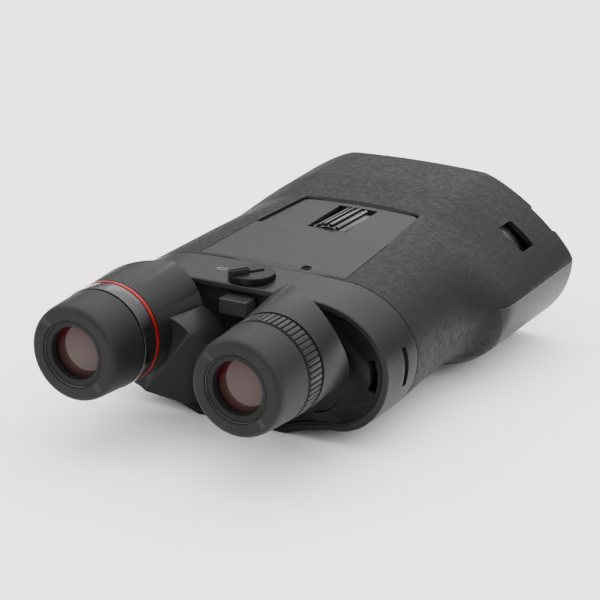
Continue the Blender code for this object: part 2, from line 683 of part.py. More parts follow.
def build_rings(side, tag, place):
    inner = neck_radii()[1] + GAP
    if side > 0:
        ribs = 44
        outline = []
        for i in range(ribs):
            for share, radius in ((0.0, RING_RADIUS), (0.5, RING_RADIUS), (0.55, RING_RADIUS - 0.5 * MM),
                                  (0.95, RING_RADIUS - 0.5 * MM)):
                angle = 2 * math.pi * (i + share) / ribs
                outline.append((place[0] + radius * math.cos(angle), radius * math.sin(angle)))
        ring = prism("dioptre_ring", outline, NECK_Y, CONE_Y - GAP, "plastic", place)
        bore = rod("cut_dioptre", 0.0, 0.05, inner, "plastic", place, ROUND_LENS)
        cut(ring, as_cutter(bore))
        return
    split = CONE_Y - GAP - RED_RING_LENGTH
    tube("left_band", NECK_Y, split - GAP, RING_RADIUS, inner, "gloss", place)
    tube("left_red_ring", split, CONE_Y - GAP, RING_RADIUS + 0.2 * MM, inner, "red", place)


def cone_solid(name, side, grow=0.0, y_from=CONE_Y, y_to=CONE_END_Y):
    """Oblique cone of the arm about the eyepiece axis."""
    def ring_at(y):
        t = (y - CONE_Y) / (CONE_END_Y - CONE_Y)
        x = EYE_X + CONE_END_SHIFT[0] * t
        z = CONE_END_SHIFT[1] * t
        radius = CONE_RADIUS + (CONE_END_RADIUS - CONE_RADIUS) * t + grow
        return arc((x, z), radius, 0.0, 360.0 - 360.0 / ROUND, ROUND - 1)

    def build(bm):
        loops = []
        for y in (y_from, y_to):
            loops.append([bm.verts.new((x * side, y, z)) for x, z in ring_at(y)])
        for i in range(ROUND):
            j = (i + 1) % ROUND
            bm.faces.new((loops[0][i], loops[0][j], loops[1][j], loops[1][i]))
        bm.faces.new(loops[0])
        bm.faces.new(loops[1])

    return add_object(name, smooth(mesh_from(name, build)), "plastic")


def arm_drum_outline(side):
    """Drum about the pivot, flat on its lower side, reaching up into the cone."""
    slope = math.degrees(math.atan2(MIRROR_WAY.z, MIRROR_WAY.x))
    spread = math.degrees(math.acos(ARM_SIDE_OFFSET / ARM_DRUM_RADIUS))
    low_side = slope - 90.0
    points = arc((PIVOT_X, PIVOT_Z), ARM_DRUM_RADIUS, 62.0, low_side - spread + 360.0, 22)
    corner = math.radians(low_side + spread)
    corner_x = PIVOT_X + ARM_DRUM_RADIUS * math.cos(corner)
    corner_z = PIVOT_Z + ARM_DRUM_RADIUS * math.sin(corner)
    points.append((corner_x, corner_z))
    points += [(EYE_X + 11.0 * MM, -1.0 * MM), (EYE_X, 7.0 * MM)]
    return [(x * side, z) for x, z in points]


def rhomboid(name, side, grow, finish):
    """Prism that carries the light from the pivot axis up to the eyepiece axis."""
    pivot = Vector((PIVOT_X, 0.0, PIVOT_Z))
    along = Vector((EYE_X, 0.0, 0.0)) - pivot
    reach = along.length
    along.normalize()
    across = Vector((along.z, 0.0, -along.x))
    half = PRISM_APERTURE / 2
    rear = PRISM_REAR_Y - grow
    front = PRISM_REAR_Y + PRISM_APERTURE + grow
    lean = grow * math.sqrt(2)
    corners = [(-half - lean - grow, front), (half - lean + grow, rear), (reach + half + lean + grow, rear),
               (reach - half + lean - grow, front)]

    def build(bm):
        loops = []
        for sign in (-1, 1):
            loop = []
            for s, y in corners:
                point = pivot + along * s + across * (half + grow) * sign
                loop.append(bm.verts.new((point.x * side, y, point.z)))
            loops.append(loop)
        for i in range(4):
            j = (i + 1) % 4
            bm.faces.new((loops[0][i], loops[0][j], loops[1][j], loops[1][i]))
        bm.faces.new(loops[0])
        bm.faces.new(loops[1])

    return add_object(name, mesh_from(name, build), finish)


def build_arm(side):
    tag = side_name(side)
    origin = Vector((PIVOT_X * side, 0.0, PIVOT_Z))
    way = Vector((MIRROR_WAY.x * side, 0.0, MIRROR_WAY.z))
    upper_normal = Vector((way.x, 1.13, way.z))
    lower_normal = Vector((-way.x, -1.0, -way.z))
    upper_cut = half_space("cut_upper_" + tag, mirrored(UPPER_CUT_POINT, side), upper_normal)
    lower_cut = half_space("cut_lower_face_" + tag, mirrored(LOWER_CUT_POINT, side), lower_normal)
    arm = cone_solid(tag + "_prism_arm", side)
    base_start = ARM_REAR_Y + ARM_COVER_THICKNESS + GAP
    base = prism("join_drum_" + tag, arm_drum_outline(side), base_start, CONE_END_Y - 0.02 * MM, "plastic")
    cut(base, lower_cut)
    cut(arm, as_cutter(base), "UNION")
    cut(arm, upper_cut)
    neck_bore, neck_radius = neck_radii()
    eye = (EYE_X * side, 0.0, 0.0)
    neck = rod("join_neck_" + tag, NECK_Y + GAP, CONE_Y + 2 * MM, neck_radius, "plastic", eye)
    cut(arm, as_cutter(neck), "UNION")
    seat_end = 31.0 * MM + GAP
    light = LENS_OPENING - MM
    bore = [
        (0.0, 0.0), (0.0, neck_bore), (seat_end, neck_bore), (seat_end, light),
        (PRISM_REAR_Y + MM, light), (PRISM_REAR_Y + MM, 0.0),
    ]
    cut(arm, as_cutter(turned("cut_bore_" + tag, bore, "plastic", eye, ROUND_LENS)))
    cut(arm, as_cutter(rhomboid("cut_prism_" + tag, side, 0.35 * MM, "plastic")))
    window = rod("cut_window_" + tag, PRISM_REAR_Y + PRISM_APERTURE - MM, 70 * MM,
                 PRISM_APERTURE / 2 - 0.5 * MM, "plastic", origin)
    cut(arm, as_cutter(window))
    move_origin(arm, origin)
    rhomboid(tag + "_rhomboid_prism", side, 0.0, "glass")
    cover = prism(tag + "_arm_cover", arm_drum_outline(side), ARM_REAR_Y,
                  ARM_REAR_Y + ARM_COVER_THICKNESS, "plastic")
    cut(cover, lower_cut)
    cut(cover, as_cutter(cone_solid("cut_cone_" + tag, side, GAP, 20 * MM, 70 * MM)))
    build_hub(side, tag, origin)


def move_origin(obj, origin):
    """Puts the object's origin at a point without moving its shape."""
    obj.data.transform(Matrix.Translation(-Vector(origin)))
    obj.location = Vector(obj.location) + Vector(origin)


def build_hub(side, tag, origin):
    plate_end = PLATE_Y + PLATE_THICKNESS
    gear_start = plate_end + GAP * 2
    seat = 10.0 * MM
    hub = [
        (CONE_END_Y + GAP, HUB_BORE), (CONE_END_Y + GAP, HUB_RADIUS), (plate_end + GAP, HUB_RADIUS),
        (plate_end + GAP, seat), (gear_start + GEAR_THICKNESS, seat),
        (gear_start + GEAR_THICKNESS, HUB_BORE),
    ]
    turned(tag + "_pivot_hub", hub, "metal", origin)
    pitch = PIVOT_X
    step = 360.0 / GEAR_TEETH
    facing = 180.0 if side > 0 else 0.0
    phase = 0.0 if side > 0 else 0.5
    outline = []
    count = int(GEAR_HALF_SECTOR / step)
    for i in range(-count, count + 1):
        middle = facing + (i + phase) * step
        for share, depth in ((-0.31, -1.2), (-0.13, 0.8), (0.13, 0.8), (0.31, -1.2)):
            angle = math.radians(middle + share * step)
            radius = pitch + depth * MM
            outline.append((origin.x + radius * math.cos(angle), origin.z + radius * math.sin(angle)))
    rim = 15.5 * MM
    outline += arc((origin.x, origin.z), rim, facing + 60, facing + 300, 14)
    gear = prism(tag + "_arm_gear", outline, gear_start, gear_start + GEAR_THICKNESS, "brass", origin)
    bore = rod("cut_gear_" + tag, 50 * MM, 90 * MM, seat + 0.1 * MM, "brass", origin, ROUND)
    cut(gear, as_cutter(bore))


# ---- focusing ----
def build_focus():
    axis = (0.0, 0.0, WHEEL_Z)
    outline = []
    for i in range(WHEEL_RIBS):
        for share, radius in ((0.0, 1.0), (0.45, 1.0), (0.60, 0.91), (0.85, 0.91)):
            angle = 2 * math.pi * (i + share) / WHEEL_RIBS
            reach = WHEEL_RADIUS * radius
            outline.append((reach * math.cos(angle), WHEEL_Z + reach * math.sin(angle)))
    wheel = prism("focus_wheel", outline, *WHEEL_Y, "gloss", axis)
    bore = rod("cut_wheel", 0.1, 0.2, SCREW_RADIUS + GAP, "gloss", axis)
    cut(wheel, as_cutter(bore))
    start = 117.0 * MM
    end = 172.0 * MM
    rod("focus_screw", start, end, SCREW_RADIUS, "brass", axis, 16)
    build_carriage()
    for side in (1, -1):
        place = (OBJECTIVE_X * side, 0.0, OBJECTIVE_Z)
        edge = FOCUS_CELL_RADIUS - 1.5 * MM - GAP
        start = FOCUS_CARRIAGE_Y - 12 * MM
        lens = [(start, 0.0), (start - 0.6 * MM, edge), (start + 3 * MM, edge), (start + 2 * MM, 0.0)]
        turned(side_name(side) + "_focus_lens", lens, "glass", place)
        rod_place = (GUIDE_ROD_X * side, 0.0, OBJECTIVE_Z)
        rod(side_name(side) + "_guide_rod", 118 * MM, 148 * MM, GUIDE_ROD_RADIUS, "metal", rod_place, 12)


def build_carriage():
    """Sliding bridge that carries both focusing lenses along the guide rods."""
    y0 = FOCUS_CARRIAGE_Y - 14 * MM
    y1 = y0 + 6 * MM
    inner = FOCUS_CELL_RADIUS - 1.5 * MM
    reach = OBJECTIVE_X - inner - 0.4 * MM
    low = (-reach, y0 + MM, OBJECTIVE_Z - 4 * MM)
    high = (reach, y1 - MM, OBJECTIVE_Z + 4 * MM)
    bridge = box("focus_carriage", low, high, "metal")
    post_low = (-4.5 * MM, y0 + 1.3 * MM, OBJECTIVE_Z + MM)
    post_high = (4.5 * MM, y1 - 1.3 * MM, WHEEL_Z + 4.5 * MM)
    post = as_cutter(box("join_post", post_low, post_high, "metal"))
    cut(bridge, post, "UNION")
    for side in (1, -1):
        tag = side_name(side)
        place = (OBJECTIVE_X * side, 0.0, OBJECTIVE_Z)
        ring = tube("join_ring_" + tag, y0, y1, FOCUS_CELL_RADIUS, inner, "metal", place, ROUND_LENS)
        cut(bridge, as_cutter(ring), "UNION")
        rod_hole = rod("cut_rod_" + tag, 0.1, 0.2, GUIDE_ROD_RADIUS + GAP, "metal",
                       (GUIDE_ROD_X * side, 0.0, OBJECTIVE_Z), 16)
        cut(bridge, as_cutter(rod_hole))
    screw_hole = rod("cut_nut", 0.1, 0.2, SCREW_RADIUS + GAP, "metal", (0.0, 0.0, WHEEL_Z), 16)
    cut(bridge, as_cutter(screw_hole))


# ---- stabiliser ----
def frame_outline(x, z, clip=GIMBAL_CLIP):
    """Rectangle about the gimbal centre with clipped corners, to stand inside the lobes."""
    quarter = [(x, -z + clip), (x, z - clip), (x - clip, z)]
    half = quarter + [(-a, b) for a, b in reversed(quarter)]
    ring = half + [(-x + clip, -z), (x - clip, -z)]
    return [(a, GIMBAL_Z + b) for a, b in ring]


def build_gimbal():
    pitch_axis = (0.0, GIMBAL_Y, GIMBAL_Z)
    bar = 2.4 * MM
    outer_outline = frame_outline(GIMBAL_HALF_WIDTH, GIMBAL_HALF_HEIGHT)
    outer = prism("outer_gimbal", outer_outline, GIMBAL_Y - 4 * MM, GIMBAL_Y + 4 * MM, "metal", pitch_axis)
    window = frame_outline(GIMBAL_HALF_WIDTH - bar, GIMBAL_HALF_HEIGHT - bar)
    cut(outer, as_cutter(prism("cut_outer_window", window, 0.05, 0.2, "metal")))
    pin_end = GIMBAL_HALF_WIDTH + 3.5 * MM
    for side in (1, -1):
        tag = side_name(side)
        pin = rod("join_pitch_pin_" + tag, (GIMBAL_HALF_WIDTH - MM) * side, pin_end * side, 1.6 * MM,
                  "metal", pitch_axis, 12, "X")
        cut(outer, as_cutter(pin), "UNION")
        hole = rod("cut_yaw_" + tag, GIMBAL_Z + (GIMBAL_HALF_HEIGHT - 4 * MM) * side,
                   GIMBAL_Z + (GIMBAL_HALF_HEIGHT + 4 * MM) * side, 1.5 * MM + GAP, "metal",
                   (0.0, GIMBAL_Y, 0.0), 12, "Z")
        cut(outer, as_cutter(hole))
        low = [GIMBAL_HALF_WIDTH + 0.6 * MM, GIMBAL_Y - 5 * MM, GIMBAL_Z - 8 * MM]
        high = [GIMBAL_HALF_WIDTH + 4.2 * MM, GIMBAL_Y + 5 * MM, GIMBAL_Z + 6 * MM]
        if side < 0:
            low[0], high[0] = -high[0], -low[0]
        bracket = box(tag + "_gimbal_bearing", low, high, "metal")
        pin_hole = rod("cut_bearing_" + tag, -0.1, 0.1, 1.6 * MM + GAP, "metal", pitch_axis, 12, "X")
        cut(bracket, as_cutter(pin_hole))
    inner_gap = 0.9 * MM
    half_x = GIMBAL_HALF_WIDTH - bar - inner_gap * 1.6
    half_z = GIMBAL_HALF_HEIGHT - bar - inner_gap
    inner_outline = frame_outline(half_x, half_z, GIMBAL_CLIP - MM)
    inner = prism("inner_gimbal", inner_outline, GIMBAL_Y - 3 * MM, GIMBAL_Y + 3 * MM, "metal", pitch_axis)
    for side in (1, -1):
        tag = side_name(side)
        x = ROOF_PRISM_X * side
        size = ROOF_PRISM
        low = (x - size[0] / 2 - GAP, 0.05, GIMBAL_Z - size[2] / 2 - GAP)
        high = (x + size[0] / 2 + GAP, 0.2, GIMBAL_Z + size[2] / 2 + GAP)
        cut(inner, as_cutter(box("cut_prism_window_" + tag, low, high, "metal")))
        pin = rod("join_yaw_pin_" + tag, GIMBAL_Z + (half_z - MM) * side,
                  GIMBAL_Z + (GIMBAL_HALF_HEIGHT - 0.2 * MM) * side, 1.5 * MM, "metal",
                  (0.0, GIMBAL_Y, 0.0), 12, "Z")
        cut(inner, as_cutter(pin), "UNION")
        build_roof_prism(tag, x)
    build_coils(half_z)


def build_roof_prism(tag, x):
    """Erecting prism with its roof along the top."""
    width, depth, height = ROOF_PRISM
    low = GIMBAL_Z - height / 2
    high = GIMBAL_Z + height / 2
    shoulder = high - 5 * MM
    half = width / 2
    outline = [(x - half, low), (x + half, low), (x + half, shoulder), (x, high), (x - half, shoulder)]
    name = tag + "_roof_prism"
    middle = GIMBAL_Y + ROOF_PRISM_SHIFT
    roof = prism(name, outline, middle - depth / 2, middle + depth / 2, "glass")
    add_bevel(roof, 0.8 * MM)


def build_coils(half_z):
    """Voice coils that steady the prisms, each facing a magnet across a small air gap."""
    top = GIMBAL_Z + half_z - 4 * MM
    box("yaw_coil", (-7 * MM, GIMBAL_Y + 3.3 * MM, top - 18 * MM), (7 * MM, GIMBAL_Y + 6 * MM, top), "brass")
    roof = station_at(GIMBAL_Y)[0] * MM - WALL - 2 * GAP
    magnet_low = (-8 * MM, GIMBAL_Y + 9 * MM, top - 20 * MM)
    box("yaw_magnet", magnet_low, (8 * MM, GIMBAL_Y + 12 * MM, roof), "metal")
    low_z = GIMBAL_Z - GIMBAL_HALF_HEIGHT
    box("pitch_coil", (-7 * MM, GIMBAL_Y - 3 * MM, low_z - 2.5 * MM),
        (7 * MM, GIMBAL_Y + 3 * MM, low_z - GAP), "brass")
    box("pitch_magnet", (-9 * MM, GIMBAL_Y - 6 * MM, KEEL_Z + WALL + GAP),
        (9 * MM, GIMBAL_Y + 6 * MM, low_z - 4.2 * MM), "metal")


# ---- small parts ----
def build_small_parts():
    pivot = (*SWITCH_PLACE, 0.0)
    top = SWITCH_TOP_Z
    knob = [
        (13.0 * MM, 0.0), (13.0 * MM, 2.6 * MM), (top - SWITCH_HEIGHT, 2.6 * MM),
        (top - SWITCH_HEIGHT, SWITCH_RADIUS), (top - 0.5 * MM, SWITCH_RADIUS),
        (top, SWITCH_RADIUS - 0.6 * MM), (top, 0.0),
    ]
    switch = turned("power_switch", knob, "plastic", pivot, ROUND, "Z")
    aim = math.radians(-123.0)
    place = Matrix.Rotation(aim, 4, "Z") @ Matrix.Translation((4.6 * MM, 0.0, top + 0.4 * MM))
    size = Matrix.Diagonal((11.0 * MM, 3.6 * MM, 4.6 * MM, 1.0))

    def lever(bm):
        bmesh.ops.create_cube(bm, size=1.0, matrix=place @ size)

    bar = add_object("join_lever", mesh_from("join_lever", lever), "plastic", pivot)
    add_bevel(bar, 1.0 * MM, 2)
    cut(switch, as_cutter(bar), "UNION")
    x, y = LED_PLACE
    surface = station_at(y)[0] * MM
    rod("status_lamp", surface - WALL, surface - 0.4 * MM, LED_RADIUS, "glass", (x, y, 0.0), 16, "Z")
    bush = [
        (0.3 * MM, TRIPOD_BORE), (0.3 * MM, TRIPOD_RADIUS), (3.0 * MM, TRIPOD_RADIUS),
        (3.0 * MM, TRIPOD_RADIUS - 2 * MM), (8.0 * MM, TRIPOD_RADIUS - 2 * MM), (8.0 * MM, TRIPOD_BORE),
    ]
    turned("tripod_bush", bush, "metal", (0.0, TRIPOD_Y, KEEL_Z), ROUND_INNER, "Z")
    box("circuit_board", (-26 * MM, 88 * MM, 11.8 * MM), (26 * MM, 112 * MM, 13.0 * MM), "board")


def main():
    global PARTS, CUTTERS, DATUM
    clear_scene()
    PARTS = new_collection("binoculars")
    CUTTERS = new_collection("cutters")
    DATUM = bpy.data.objects.new("eyepiece_datum", None)
    PARTS.objects.link(DATUM)
    DATUM.location = (0.0, -LENGTH / 2, -KEEL_Z)
    build_housings()
    build_bezel()
    build_hinge_plate()
    build_front()
    for side in (1, -1):
        build_eyepiece(side)
        build_arm(side)
    build_focus()
    build_gimbal()
    build_small_parts()


main()
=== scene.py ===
# %% [markdown]
# # Stabilised binoculars
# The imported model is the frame: every body, joint and node keeps its place. This lesson builds the
# finished surfaces over it: grained rubber armour, satin mouldings, ribbed rings, coated lenses.
# Each step says what the real piece is, how it could be made, and why it is made this way here.

# %% Load the frame
import json
import math

import bmesh
import bpy
from mathutils import Matrix, Vector


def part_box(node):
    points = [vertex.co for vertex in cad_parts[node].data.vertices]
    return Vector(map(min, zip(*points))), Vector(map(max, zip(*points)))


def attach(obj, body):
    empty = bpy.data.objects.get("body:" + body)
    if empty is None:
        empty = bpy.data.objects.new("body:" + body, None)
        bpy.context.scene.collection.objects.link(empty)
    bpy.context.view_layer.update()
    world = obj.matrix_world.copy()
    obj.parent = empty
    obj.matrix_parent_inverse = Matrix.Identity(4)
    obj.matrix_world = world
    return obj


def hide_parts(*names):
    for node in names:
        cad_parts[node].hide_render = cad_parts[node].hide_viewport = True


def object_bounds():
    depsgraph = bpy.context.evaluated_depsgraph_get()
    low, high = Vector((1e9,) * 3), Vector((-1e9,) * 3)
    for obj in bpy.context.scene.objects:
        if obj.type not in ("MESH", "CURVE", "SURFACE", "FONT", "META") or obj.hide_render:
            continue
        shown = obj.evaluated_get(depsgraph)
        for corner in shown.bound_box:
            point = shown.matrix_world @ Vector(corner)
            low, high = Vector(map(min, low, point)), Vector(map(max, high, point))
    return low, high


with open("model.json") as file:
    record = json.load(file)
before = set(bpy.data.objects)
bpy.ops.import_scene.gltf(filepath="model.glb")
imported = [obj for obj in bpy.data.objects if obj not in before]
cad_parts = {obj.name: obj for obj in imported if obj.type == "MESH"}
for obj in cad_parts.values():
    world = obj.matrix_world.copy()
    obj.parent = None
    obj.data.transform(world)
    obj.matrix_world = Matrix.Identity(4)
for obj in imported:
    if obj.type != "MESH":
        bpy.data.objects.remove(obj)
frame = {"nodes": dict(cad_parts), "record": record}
NODES = frame["nodes"]
cad_low, cad_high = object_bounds()
MM = 0.001

# %% [markdown]
# ## The measuring datum
# Binoculars are measured from the eyecup faces and the eyepiece axes. Typing world places for every
# piece would be fragile, so one datum is read from the frame's own boxes and `at` turns datum
# millimetres into the frame's metres.

# %% Datum
eye_low, eye_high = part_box("right_eye_lens")
eye_middle = (eye_low + eye_high) / 2
DATUM = Vector((0.0, cad_low[1], eye_middle.z))
EYE_X = eye_middle.x / MM
LENGTH = (cad_high[1] - cad_low[1]) / MM
KEEL = (cad_low[2] - DATUM.z) / MM


def at(x, y, z):
    """Datum millimetres to frame metres."""
    return Vector((x, y, z)) * MM + DATUM


def extent(node):
    """Lowest and highest corner of a node, in datum millimetres."""
    low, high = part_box(node)
    return (low - DATUM) / MM, (high - DATUM) / MM


print("eye spacing %.1f, length %.1f, keel %.1f mm" % (2 * EYE_X, LENGTH, KEEL))

# %% [markdown]
# ## Camera
# A long lens from behind, above and to the right keeps the parallel tubes nearly parallel, as a
# catalogue picture does. A short lens near the object would swell the eyecups.

# %% Camera
camera_data = bpy.data.cameras.new("camera")
camera_data.lens = 142.3
camera_data.sensor_width = 36.0
camera = bpy.data.objects.new("camera", camera_data)
camera.location = (0.44764, -0.78094, 0.36030)
camera.rotation_euler = (math.radians(70.285), 0.0, math.radians(29.755))
bpy.context.scene.collection.objects.link(camera)
bpy.context.scene.camera = camera
print("camera at", tuple(round(v, 3) for v in camera.location))

# %% [markdown]
# ## Floor and light
# Black rubber and black plastic only show their shape through what they reflect. A surround that
# is bright overhead and dim near the horizon lights the floor but keeps the tops dark. Four soft
# panels, above, beyond and at both sides, draw the rims. Small hard lamps would leave the body a
# silhouette with hot spots.


# %% Studio helpers
def shader_material(name):
    """A new node material and its main shader."""
    mat = bpy.data.materials.new(name)
    mat.use_nodes = True
    return mat, mat.node_tree.nodes["Principled BSDF"]


def soft_panel(name, place, target, width, height, watts):
    data = bpy.data.lights.new(name, "AREA")
    data.shape = "RECTANGLE"
    data.size = width
    data.size_y = height
    data.energy = watts
    lamp = bpy.data.objects.new(name, data)
    lamp.location = place
    lamp.rotation_euler = (Vector(target) - Vector(place)).to_track_quat("-Z", "Y").to_euler()
    bpy.context.scene.collection.objects.link(lamp)
    return lamp


# %% Floor, surround and lamps
floor_mesh = bpy.data.meshes.new("floor")
floor_mesh.from_pydata([(-6, -6, 0), (6, -6, 0), (6, 6, 0), (-6, 6, 0)], [], [(0, 1, 2, 3)])
floor = bpy.data.objects.new("floor", floor_mesh)
bpy.context.scene.collection.objects.link(floor)
floor_material, floor_shader = shader_material("pale_floor")
floor_shader.inputs["Base Color"].default_value = (0.93, 0.93, 0.93, 1.0)
floor_shader.inputs["Roughness"].default_value = 0.9
floor_shader.inputs["Specular IOR Level"].default_value = 0.1
floor_mesh.materials.append(floor_material)

world = bpy.data.worlds.new("surround")
bpy.context.scene.world = world
world.use_nodes = True
sky = world.node_tree
direction = sky.nodes.new("ShaderNodeTexCoord")
height = sky.nodes.new("ShaderNodeSeparateXYZ")
sky.links.new(direction.outputs["Generated"], height.inputs["Vector"])
glow = sky.nodes.new("ShaderNodeMapRange")
glow.inputs["From Min"].default_value = 0.20
glow.inputs["From Max"].default_value = 0.75
glow.inputs["To Min"].default_value = 0.30
glow.inputs["To Max"].default_value = 3.6
sky.links.new(height.outputs["Z"], glow.inputs["Value"])
sky.links.new(glow.outputs["Result"], sky.nodes["Background"].inputs["Strength"])
sky.nodes["Background"].inputs["Color"].default_value = (1.0, 1.0, 1.0, 1.0)

soft_panel("top_panel_light", (0.05, 0.25, 1.3), (0.0, 0.0, 0.03), 1.3, 1.0, 9.0)
soft_panel("far_light", (-0.25, 1.35, 0.75), (0.0, 0.05, 0.03), 1.2, 0.5, 2.5)
soft_panel("rear_left_light", (-1.1, -0.8, 0.7), (0.0, 0.0, 0.03), 0.35, 0.9, 5.0)
soft_panel("right_light", (1.3, -0.1, 0.6), (0.0, 0.0, 0.03), 0.35, 0.9, 6.0)

# %% [markdown]
# ## Finishes
# A moulding is never one colour: the tool leaves a grain, handling polishes the edges, and dust
# sits in the texture. Each finish below has slow colour drift, roughness drift, its own grain as
# bump, and a touch of wear where the surface turns sharply. Painted pictures would need unwrapping
# and would stretch, so everything is procedural on object coordinates.


# %% Node helpers
def add_node(tree, kind, **values):
    node = tree.nodes.new(kind)
    for key, value in values.items():
        if key in node.inputs:
            node.inputs[key].default_value = value
        else:
            setattr(node, key, value)
    return node


def noise(tree, coords, scale, detail=3.0):
    node = add_node(tree, "ShaderNodeTexNoise", Scale=scale, Detail=detail)
    tree.links.new(coords, node.inputs["Vector"])
    return node.outputs["Fac"]


def ranged(tree, value, low, high, start=0.35, end=0.65):
    """Spreads a noise value over low to high."""
    node = add_node(tree, "ShaderNodeMapRange")
    node.inputs["From Min"].default_value = start
    node.inputs["From Max"].default_value = end
    node.inputs["To Min"].default_value = low
    node.inputs["To Max"].default_value = high
    tree.links.new(value, node.inputs["Value"])
    return node.outputs["Result"]


def blended(tree, factor, first, second):
    """Colour mixed by a factor; first and second are sockets or plain colours."""
    node = add_node(tree, "ShaderNodeMix", data_type="RGBA")
    tree.links.new(factor, node.inputs["Factor"])
    for socket, colour in ((node.inputs[6], first), (node.inputs[7], second)):
        if isinstance(colour, tuple):
            socket.default_value = (*colour, 1.0)
        else:
            tree.links.new(colour, socket)
    return node.outputs[2]


def bump(tree, height, strength, distance, below=None):
    node = add_node(tree, "ShaderNodeBump", Strength=strength, Distance=distance)
    tree.links.new(height, node.inputs["Height"])
    if below is not None:
        tree.links.new(below, node.inputs["Normal"])
    return node.outputs["Normal"]


def worn_edges(tree, lowest=0.52, highest=0.60):
    """Mask of convex edges, from the mesh's own curvature."""
    geometry = add_node(tree, "ShaderNodeNewGeometry")
    return ranged(tree, geometry.outputs["Pointiness"], 0.0, 1.0, lowest, highest)


# %% [markdown]
# ### Rubber armour
# The armour is a thin skin moulded in a leather-like grain. Worley cells give the pebbles, a second
# finer noise breaks their tops, and both feed one bump. Displacing the mesh would cost millions of
# faces for the same look.

# %% Rubber armour finish
armour_finish, shader = shader_material("grained_armour")
tree = armour_finish.node_tree
coords = add_node(tree, "ShaderNodeTexCoord").outputs["Object"]
pebbles = add_node(tree, "ShaderNodeTexVoronoi", feature="SMOOTH_F1", Scale=900.0, Smoothness=0.8)
tree.links.new(coords, pebbles.inputs["Vector"])
pebble_height = ranged(tree, pebbles.outputs["Distance"], 1.0, 0.0, 0.0, 0.8)
creases = noise(tree, coords, 520.0, 4.0)
fine = noise(tree, coords, 3200.0, 2.0)
drift = noise(tree, coords, 35.0, 3.0)
pebble_tops = ranged(tree, pebble_height, 0.0, 1.0, 0.2, 0.9)
lighter = blended(tree, pebble_tops, (0.0035, 0.0035, 0.0037), (0.0065, 0.0065, 0.0067))
drifted = blended(tree, ranged(tree, drift, 0.0, 0.35), lighter, (0.005, 0.005, 0.0052))
tree.links.new(blended(tree, worn_edges(tree), drifted, (0.009, 0.009, 0.0092)), shader.inputs["Base Color"])
tree.links.new(ranged(tree, creases, 0.50, 0.66), shader.inputs["Roughness"])
grain = bump(tree, pebble_height, 0.45, 0.00010)
grain = bump(tree, creases, 0.35, 0.00014, grain)
tree.links.new(bump(tree, fine, 0.12, 0.00003, grain), shader.inputs["Normal"])
shader.inputs["Specular IOR Level"].default_value = 0.16
print("finish:", armour_finish.name)

# %% [markdown]
# ### Mouldings, rubber, metal and the rest
# The other opaque finishes share one recipe with different numbers: base colour and its drift,
# roughness range, grain size and depth. A function keeps them alike and easy to tune.


# %% Shared recipe
def moulded(name, dark, light, rough, grain_scale, grain_depth, metallic=0.0, coat=0.0, worn=None, shine=0.5):
    """Opaque finish: dark and light colours, (low, high) roughness, grain per metre and depth."""
    mat, main = shader_material(name)
    nodes = mat.node_tree
    place = add_node(nodes, "ShaderNodeTexCoord").outputs["Object"]
    wander = noise(nodes, place, 60.0, 4.0)
    speck = noise(nodes, place, grain_scale, 3.0)
    base = blended(nodes, ranged(nodes, wander, 0.0, 1.0), dark, light)
    base = blended(nodes, ranged(nodes, speck, 0.0, 0.35), base, light)
    if worn:
        base = blended(nodes, worn_edges(nodes), base, worn)
    nodes.links.new(base, main.inputs["Base Color"])
    mixed = blended(nodes, ranged(nodes, speck, 0.0, 1.0), (rough[0],) * 3, (rough[1],) * 3)
    nodes.links.new(mixed, main.inputs["Roughness"])
    nodes.links.new(bump(nodes, speck, 0.4, grain_depth), main.inputs["Normal"])
    main.inputs["Metallic"].default_value = metallic
    main.inputs["Specular IOR Level"].default_value = shine
    main.inputs["Coat Weight"].default_value = coat
    main.inputs["Coat Roughness"].default_value = 0.08
    return mat


plastic = moulded(
    "satin_moulding", (0.0045, 0.0045, 0.0048), (0.007, 0.007, 0.0073), (0.34, 0.46),
    2600.0, 0.00003, worn=(0.020, 0.020, 0.0205), shine=0.15,
)
dark_plastic = moulded(
    "dark_moulding", (0.003, 0.003, 0.0032), (0.005, 0.005, 0.0052), (0.38, 0.52),
    2600.0, 0.00003, worn=(0.015, 0.015, 0.0155), shine=0.13,
)
panel_plastic = moulded(
    "panel_moulding", (0.006, 0.006, 0.0063), (0.009, 0.009, 0.0093), (0.40, 0.52),
    3600.0, 0.00004, worn=(0.022, 0.022, 0.0225), shine=0.18,
)
cup_rubber = moulded(
    "eyecup_rubber", (0.006, 0.006, 0.0063), (0.009, 0.009, 0.0093), (0.46, 0.58),
    4200.0, 0.00003, worn=(0.018, 0.018, 0.0185), shine=0.15,
)
gloss = moulded(
    "glossy_moulding", (0.004, 0.004, 0.0045), (0.007, 0.007, 0.0075), (0.12, 0.20),
    900.0, 0.00001, coat=0.15, shine=0.35,
)
red = moulded(
    "red_anodised", (0.16, 0.005, 0.004), (0.22, 0.009, 0.007), (0.22, 0.32),
    2400.0, 0.00001, metallic=0.6, shine=0.3,
)
metal = moulded(
    "machined_aluminium", (0.30, 0.30, 0.31), (0.40, 0.40, 0.41), (0.28, 0.42),
    1800.0, 0.00002, metallic=1.0,
)
brass = moulded(
    "machined_brass", (0.48, 0.33, 0.13), (0.60, 0.43, 0.19), (0.28, 0.40),
    1800.0, 0.00002, metallic=1.0,
)
board = moulded("solder_mask", (0.015, 0.085, 0.035), (0.03, 0.13, 0.055), (0.30, 0.42), 700.0, 0.00006)
cell_sleeve = moulded("cell_sleeve", (0.05, 0.055, 0.06), (0.08, 0.085, 0.09), (0.22, 0.32), 800.0, 0.00001)
mark_paint = moulded("mark_paint", (0.10, 0.10, 0.10), (0.14, 0.14, 0.14), (0.35, 0.45), 2600.0, 0.00001)
print("finishes:", len(bpy.data.materials))

